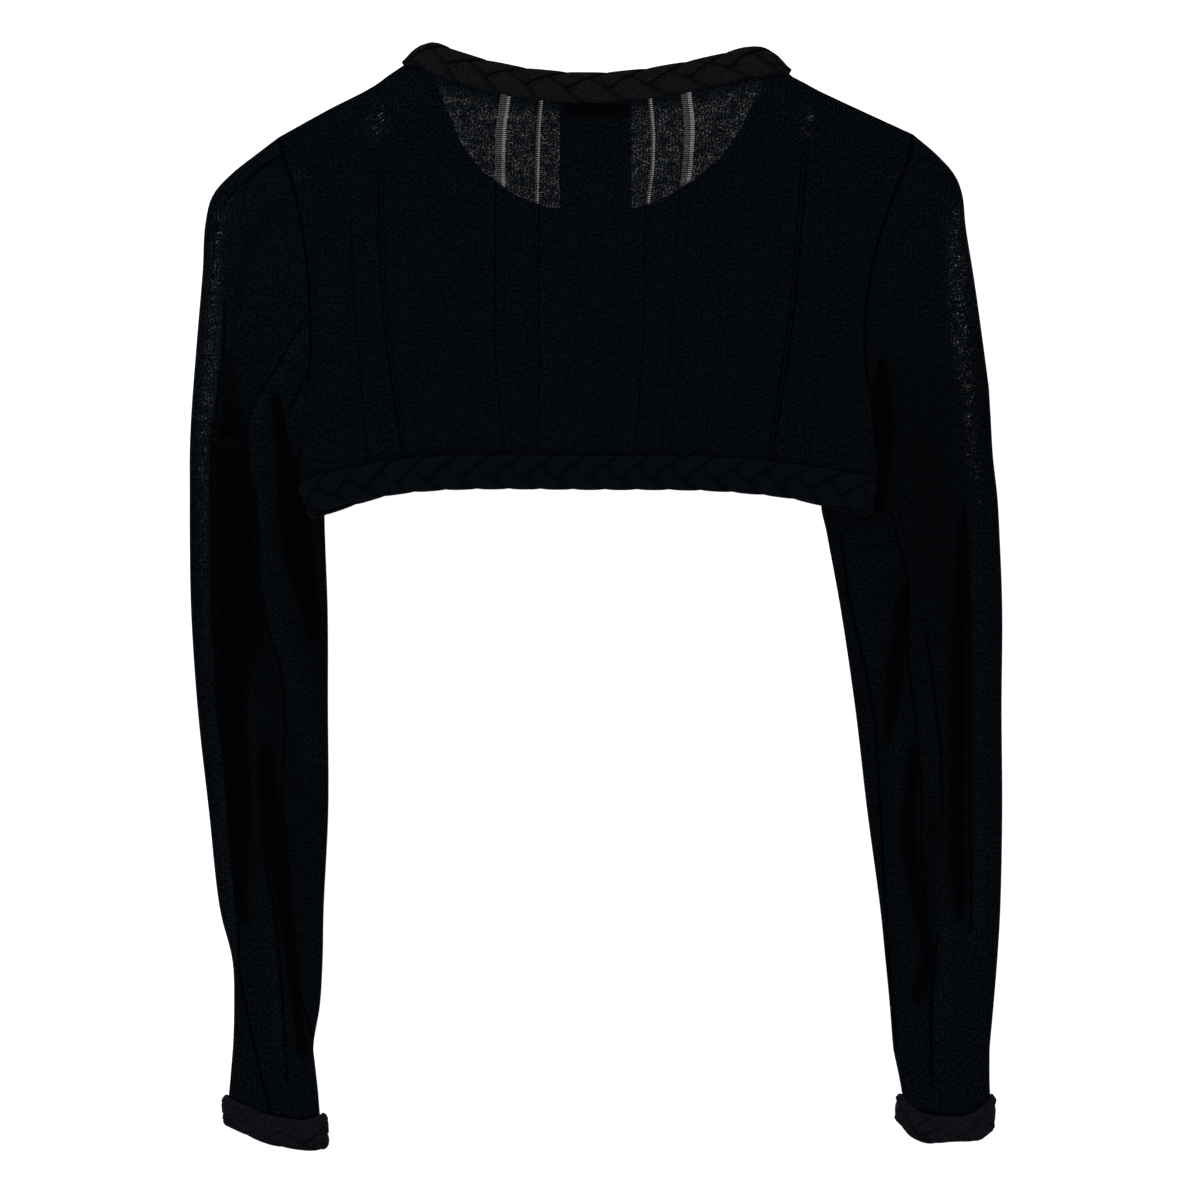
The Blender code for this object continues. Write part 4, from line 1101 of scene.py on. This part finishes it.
def addStrip(bm, band, shift, closed, values):
    # band: run, turns, centre, widthways, outward, scale, flatness and marks (strength of the grooves'
    # painted shade) at steps along the trim
    turnStart, turnEnd = band["turns"][0], band["turns"][-1]
    progress, across, folding = stripRows(values)
    first, count = math.ceil(turnStart * 2), round((turnEnd - turnStart) * 2)
    if not closed:
        first = math.floor(turnStart * 2) - 1
        count = math.ceil(turnEnd * 2) + 1 - first
    halves = np.repeat(np.arange(first, first + count), len(progress))
    rising = np.where(halves % 2 == 0, 1.0, -1.0)
    progress, across, folding = (np.tile(kind, count) for kind in (progress, across, folding))
    turn = (halves + progress) / 2 + shift
    columns = values["around"]
    angle = 2 * math.pi * np.arange(columns) / columns
    w, bulge = (
        np.sign(wave) * np.abs(wave) ** (2 / values["square"]) for wave in (np.cos(angle), np.sin(angle))
    )
    bulge = bulge * values["thick"]

    # half the lobe is a strip's half width, and a strip comes up along its neighbour's edge
    lobe, rise = values["lobe"] / 2, values["rise"]
    over = 3 * (2 * progress[:, None] - 1) + w
    height = rise * (2 * smoothStep(0.5 + over * lobe / values["soft"]) - 1)
    height = np.where(folding[:, None] > 0, rise * np.cos(math.pi * folding)[:, None], height)
    reach = values["half"] - rise
    y = rising * (across * reach + rise * np.sin(math.pi * folding))
    y = y + values["bias"] * (1 - np.clip(y / reach, -1, 1) ** 2)
    yGrid = np.repeat(y[:, None], columns, axis=1)
    if closed:
        dy, dz = (np.roll(kind, -1, axis=0) - np.roll(kind, 1, axis=0) for kind in (yGrid, height))
    else:
        dy, dz = np.gradient(yGrid, axis=0), np.gradient(height, axis=0)
    size = np.maximum(np.hypot(dy, dz), 1e-9)
    yGrid = yGrid - dz / size * bulge
    height = height + dy / size * bulge

    # painted shade in the grooves beside a strip, darker below a neighbour's edge
    upper, lower, atTop = values["grooves"]
    margin, under = (
        np.clip(1 + (values["grooveWidth"] - gap * lobe) / values["grooveSoft"], 0.0, 1.0)
        for gap in (1 - np.abs(w), np.abs(over))
    )
    groove = np.maximum(margin, under * (folding[:, None] == 0))
    groove *= np.where(rising > 0, upper, lower)[:, None]
    start, slope = values["fade"]
    groove = groove * (atTop + (1 - atTop) * smoothStep(start - slope * yGrid / values["half"]))

    place = turn[:, None] + w * values["fill"] / 6
    if closed:
        place = turnStart + (place - turnStart) % (turnEnd - turnStart)
    along = np.interp(place, band["turns"], band["run"])
    centre, widthways, outward, scale, flat, marks = (
        rowsAt(along, band["run"], band[name])
        for name in ("centre", "widthways", "outward", "scale", "flat", "marks")
    )
    groove = groove * marks[..., 0]
    outward /= lengths(outward)[..., None]
    points = centre + widthways * scale * yGrid[..., None] + outward * flat * height[..., None]

    rows = len(turn) if closed else len(turn) - 1
    grid, _, _ = newGrid(columns, rows)
    grooves = grid.verts.layers.float.new("groove")
    for vert in grid.verts:
        j = round((vert.co.x + 0.5) * columns) % columns
        i = round((vert.co.y + 0.5) * rows) % len(turn)
        vert.co = points[i, j] * mm
        vert[grooves] = groove[i, j]
    uv = grid.loops.layers.uv["knit"]
    length = lengthOf(points[:, columns // 4])
    for face in grid.faces:
        for loop in face.loops:
            s, t = loop[uv].uv
            loop[uv].uv = (s * values["girth"], t * length)
    bmesh.ops.remove_doubles(grid, verts=grid.verts, dist=0.005 * mm)
    bmesh.ops.dissolve_degenerate(grid, edges=grid.edges, dist=0.004 * mm)
    rim = [edge for edge in grid.edges if edge.is_boundary]
    if rim:
        bmesh.ops.holes_fill(grid, edges=rim, sides=0)
    bmesh.ops.recalc_face_normals(grid, faces=grid.faces)
    part = bpy.data.meshes.new("strip")
    grid.to_mesh(part)
    grid.free()
    bm.from_mesh(part)
    bpy.data.meshes.remove(part)


def makePlait(name, nodes, band, closed, material, values):
    bm = bmesh.new()
    bm.loops.layers.uv.new("knit")
    bm.verts.layers.float.new("groove")
    for shift in (0, 1 / 3, 2 / 3):
        addStrip(bm, band, shift, closed, values)
    finishPiece(bm, name, material, nodes)
    print(name, "made")


def bandOf(centre, widthways, outward, scale):
    ones = np.ones(len(centre))
    return {
        "centre": centre, "run": runOf(centre), "widthways": widthways, "outward": outward,
        "scale": scale, "flat": ones, "marks": ones,
    }


def layerBand(line, heights, across, scale, up=1.0):
    # a stretch that lies flat: its middle, widthways directions, outward directions and scale
    count = len(line)
    widthways = np.column_stack([across, np.zeros(count)])
    return np.column_stack([line, heights]), widthways, np.tile([0.0, 0.0, up], (count, 1)), scale


def loopBand(top, low, cornerRound, stepsRound=10):
    # a trim that runs along the top layer, turns down over the side, runs back below and up again;
    # each layer is its line, heights, widthways directions and scale

    def turnOver(start, end, lean):
        # half a turn about the side, from one layer's end to the other's
        (a, za, across, scale), (b, zb, _, _) = start, end
        radius = abs(za - zb) / 2
        way = np.array([across[1], -across[0]]) * lean
        angle = np.linspace(0.0, math.pi, stepsRound + 2)[1:-1]
        rounded = 1 - cornerRound * (1 - np.abs(np.cos(angle)))
        mix = ((1 - np.cos(angle)) / 2)[:, None]
        plan = a * (1 - mix) + b * mix + way * (np.sin(angle) * radius)[:, None]
        up = lean * np.cos(angle)
        return (
            np.column_stack([plan, (za + zb) / 2 + up * radius]),
            np.tile([*across, 0.0], (stepsRound, 1)),
            np.column_stack([way * np.sin(angle)[:, None], up]),
            scale * rounded,
        )

    def endOf(layer, place):
        return tuple(kind[place] for kind in layer)

    parts = [
        layerBand(*top),
        turnOver(endOf(top, -1), endOf(low, -1), 1.0),
        layerBand(*(kind[::-1] for kind in low), -1.0),
        turnOver(endOf(low, 0), endOf(top, 0), -1.0),
    ]
    return bandOf(*(np.concatenate([*kind, kind[0][:1]]) for kind in zip(*parts)))


hemTrim = {
    **plait,
    "lobe": 19.2,  # length of one lobe; three make a full plait
    "firstTurn": 0.42,  # where in a full plait the left end begins
    "frontDrop": 3.6,  # the front's hem shows this far below the back's at the sides
    "dropShare": 0.16,  # share of the length, at each side, over which it comes down
    "inset": 6.4,  # the fold at each side takes this much of the length
    "cornerRound": 0.1,  # how much the trim narrows where it turns over at the sides
    "steps": 170,
}


def makeHemTrim(material):
    line = through(outline["hemCentre"])
    inset = hemTrim["inset"] / lengthOf(line)
    share = np.linspace(0.0, 1.0, hemTrim["steps"] + 1)
    line = pointsAt(line, inset + (1 - 2 * inset) * share)
    middle = layers["braid"] / 2
    lowLine = line.copy()
    fromSide = np.minimum(share, 1 - share) / hemTrim["dropShare"]
    lowLine[:, 1] -= hemTrim["frontDrop"] * (1 - smoothStep(fromSide))
    even = np.full(len(line), layers["braidHalf"] / (hemTrim["half"] + hemTrim["thick"]))
    band = loopBand(
        (line, onBraid + backLift(line) + middle, leftOf(line), even),
        (lowLine, frontUnderside(line) + middle, leftOf(lowLine), even),
        hemTrim["cornerRound"],
    )
    run = band["run"]
    topLength = run[len(line) - 1]
    full = 3 * hemTrim["lobe"]
    turns = [0.0, topLength / full, round(run[-1] / full)]
    band["turns"] = hemTrim["firstTurn"] + np.interp(run, [0.0, topLength, run[-1]], turns)
    makePlait("hem_plait", ["hem_braid_back", "hem_braid_front"], band, True, material, hemTrim)


neckTrim = {
    **plait,
    "lobe": 24.8,
    "half": 8.4,
    "firstTurn": 0.3,
    "bias": 2.4,
    "grooves": (1.0, 0.5, 1.0),
    "grooveWidth": 1.1,
    "grooveSoft": 2.0,
    "crossing": 24.0,  # length at each end where the back trim lies on the front one
    "ramp": 26.0,
    "frontLonger": 5.0,  # the front trim goes on this far under the back one
    "endRound": 3.0,
    "steps": 110,
}


def makeNeckTrims(material):
    for name, node, source in (
        ("neck_plait_back", "neck_braid_back", neckLine),
        ("neck_plait_front", "neck_braid_front", longer(frontTrimLine, neckTrim["frontLonger"])),
    ):
        line = evenly(source, neckTrim["steps"])
        run = lengthOf(line) * np.linspace(0.0, 1.0, len(line))
        fromEnd = np.minimum(run, run[-1] - run)
        heights = np.full(len(line), layers["braid"] / 2)
        scale = np.ones(len(line))
        if node == "neck_braid_back":
            heights += onBraid * (1 - smoothStep((fromEnd - neckTrim["crossing"]) / neckTrim["ramp"]))
            scale = neckHalfAt(fromEnd) / layers["neckHalf"]
        band = bandOf(*layerBand(line, heights, leftOf(line), scale))
        closing = 1 - np.clip(fromEnd / neckTrim["endRound"], 0.0, 1.0)
        band["flat"] = np.sqrt(1 - closing ** 2)
        band["turns"] = neckTrim["firstTurn"] + band["run"] / (3 * neckTrim["lobe"])
        makePlait(name, [node], band, False, material, neckTrim)


cuffTrim = {
    **plait,
    "lobe": 19.0,
    "firstTurn": {"left": 0.3, "right": 0.1},
    "steps": 34,
    "inset": 3.2,
    "cornerRound": 0.34,
    "sideFlat": 0.35,  # the strips lie flatter where the trim turns over at the sides
    "bias": -3.0,
    "rise": 1.0,
    "thick": 1.2,
    "square": 2.6,
    "grooves": (1.0, 0.4, 0.0),
    "grooveWidth": 1.1,
    "fade": (0.45, 1.2),
    # how strong the grooves' painted shade is along the upper layer, from left to right
    "marks": {
        "left": [(0, 0.1), (0.45, 0.15), (0.6, 1), (1, 1)],
        "right": [(0, 1), (0.3, 1), (0.45, 0.35), (1, 0.15)],
    },
}


def makeCuff(side, material):
    seam, free = through(cuffSeam[side]), through(cuffFree[side])
    if side == "right":
        seam, free = seam[::-1], free[::-1]
    # the fold takes the last millimetres of each end
    inset = cuffTrim["inset"] / lengthOf(seam)
    share = np.linspace(inset, 1 - inset, cuffTrim["steps"] + 1)
    seam, free = pointsAt(seam, share), pointsAt(free, share)
    line, width = (seam + free) / 2, lengths(seam - free)
    across = (seam - free) / width[:, None]
    scale = width / 2 / (cuffTrim["half"] + cuffTrim["thick"])
    middle = layers["braid"] / 2
    band = loopBand(
        *((line, np.full(len(line), height), across, scale) for height in (onBraid + middle, middle)),
        cuffTrim["cornerRound"],
    )
    run = band["run"]
    whole = max(1, round(run[-1] / (3 * cuffTrim["lobe"])))
    band["turns"] = cuffTrim["firstTurn"][side] + whole * run / run[-1]
    lying = np.abs(band["outward"][:, 2])
    band["flat"] = cuffTrim["sideFlat"] + (1 - cuffTrim["sideFlat"]) * lying
    band["marks"] = np.interp(run / run[len(line) - 1], *zip(*cuffTrim["marks"][side]))
    makePlait(f"cuff_plait_{side}", [f"cuff_braid_{side}"], band, True, material, cuffTrim)


label = {
    "width": 43.2,
    "top": 299.0,
    "bottom": 230.9,
    "centre": -0.3,
    "under": 0.25,
    "thickness": 0.35,
    "band": 12.0,  # folded over at the top, so it is double there
    "bandRise": (0.3, 0.8),  # how much higher it lies there, and the length over which it rises
    "wave": (0.12, 7.0),  # height of its slow waves, and their length over 2 pi
    "columns": 24,
    "rows": 32,
}


def makeLabel(material):
    bm, u, v = newGrid(label["columns"], label["rows"])
    x = label["centre"] + (u - 0.5) * label["width"]
    y = label["bottom"] + v * (label["top"] - label["bottom"])
    (rise, ease), (waveHeight, waveLength) = label["bandRise"], label["wave"]
    fold = smoothStep((y - (label["top"] - label["band"])) / ease)
    waves = waveHeight * np.sin(x / waveLength) * np.sin(math.pi * v)
    heights = label["under"] + rise * fold + waves
    placeVertices(bm, np.column_stack([x, y]), heights)
    piece = finishPiece(bm, "satin_label", material, ["label"])
    giveThickness(piece, label["thickness"], 1.0)
    print("label made")


# Stage

stage = {
    "view": 720.0,  # width that the camera sees, at the garment
    "centre": (2.4, -2.4),
    "distance": 2200.0,
    "half": 6.0,  # half the floor's side, in metres
    "below": 0.4,  # the floor lies this far below the garment
    "acrylic": "#F4F4F2",
    "acrylicLight": "#FBFBFA",
    "glow": 0.8,
    "sky": "#FAFBFF",
    "world": 0.45,
    # soft lights: name, place and size in metres, power
    "lights": [("key", (-0.8, 1.1, 1.5), 1.2, 16.0), ("fill", (1.2, -0.6, 1.6), 1.6, 5.6)],
}


def makeStage():
    bm = bmesh.new()
    bmesh.ops.create_grid(bm, x_segments=1, y_segments=1, size=stage["half"])
    bmesh.ops.translate(bm, verts=bm.verts, vec=(0.0, 0.0, -stage["below"] * mm))
    mesh = bpy.data.meshes.new("floor")
    bm.to_mesh(mesh)
    bm.free()
    # a light table of matt acrylic, lit from below
    material, shader, add = newMaterial("matt_acrylic_light_table")
    body = add("TexCoord").outputs["Object"]
    noise = add("TexNoise", {"Vector": body, "Scale": 40.0, "Detail": 3.0})
    shades = {0: noise, 6: linear(stage["acrylic"]), 7: linear(stage["acrylicLight"])}
    colour = add("Mix", shades, data_type="RGBA").outputs[2]
    setInputs(shader, {
        "Base Color": colour, "Emission Color": colour, "Emission Strength": stage["glow"],
        "Roughness": 1.0, "Specular IOR Level": 0.0,
    })
    mesh.materials.append(material)
    addObject("floor", mesh)

    scene = bpy.context.scene
    scene.world = bpy.data.worlds.new("soft_studio")
    scene.world.use_nodes = True
    sky = scene.world.node_tree.nodes["Background"]
    setInputs(sky, {"Color": linear(stage["sky"]), "Strength": stage["world"]})
    for name, place, size, energy in stage["lights"]:
        lamp = bpy.data.lights.new(name, "AREA")
        lamp.size = size
        lamp.energy = energy
        light = addObject(name, lamp)
        light.location = place
        light.rotation_euler = (-light.location).to_track_quat("-Z", "Y").to_euler()

    camera = bpy.data.cameras.new("camera")
    camera.sensor_width = 36.0
    camera.lens = camera.sensor_width * stage["distance"] / stage["view"]
    camera.clip_end = 20.0
    scene.camera = addObject("camera", camera)
    scene.camera.location = (stage["centre"][0] * mm, stage["centre"][1] * mm, stage["distance"] * mm)
    scene.view_settings.view_transform = "Standard"
    print("stage made")


_, ladderOwn = ladderPlaces(np.zeros(1))
bodyStrips = [(own, *values) for own, (*values, _) in zip(ladderOwn, ladders)]
backKnit = knitMaterial("stockinette_viscose_back", bodyStrips)
frontKnit = knitMaterial("stockinette_viscose_front", [], 0.9)
sleeveKnit = knitMaterial("stockinette_viscose_sleeve", [])
plaitedKnit = stripMaterial("plaited_jersey_strips", strip["plain"])
# painted light: lighter copies of the trim's material at the neck and the wrists
neckLightKnit = stripMaterial("plaited_jersey_strips_painted_light_neck", strip["neckPaintedLight"])
cuffLightKnit = stripMaterial("plaited_jersey_strips_painted_light_cuffs", strip["wearAndPaintedLight"])
labelSatin = satinMaterial("woven_satin_label")
print("materials made")

makeFront(frontKnit)
makeBack(backKnit)
for side in ("left", "right"):
    makeSleeve(side, sleeveKnit)
    makeCuff(side, cuffLightKnit)
makeHemTrim(plaitedKnit)
makeNeckTrims(neckLightKnit)
makeLabel(labelSatin)
makeStage()
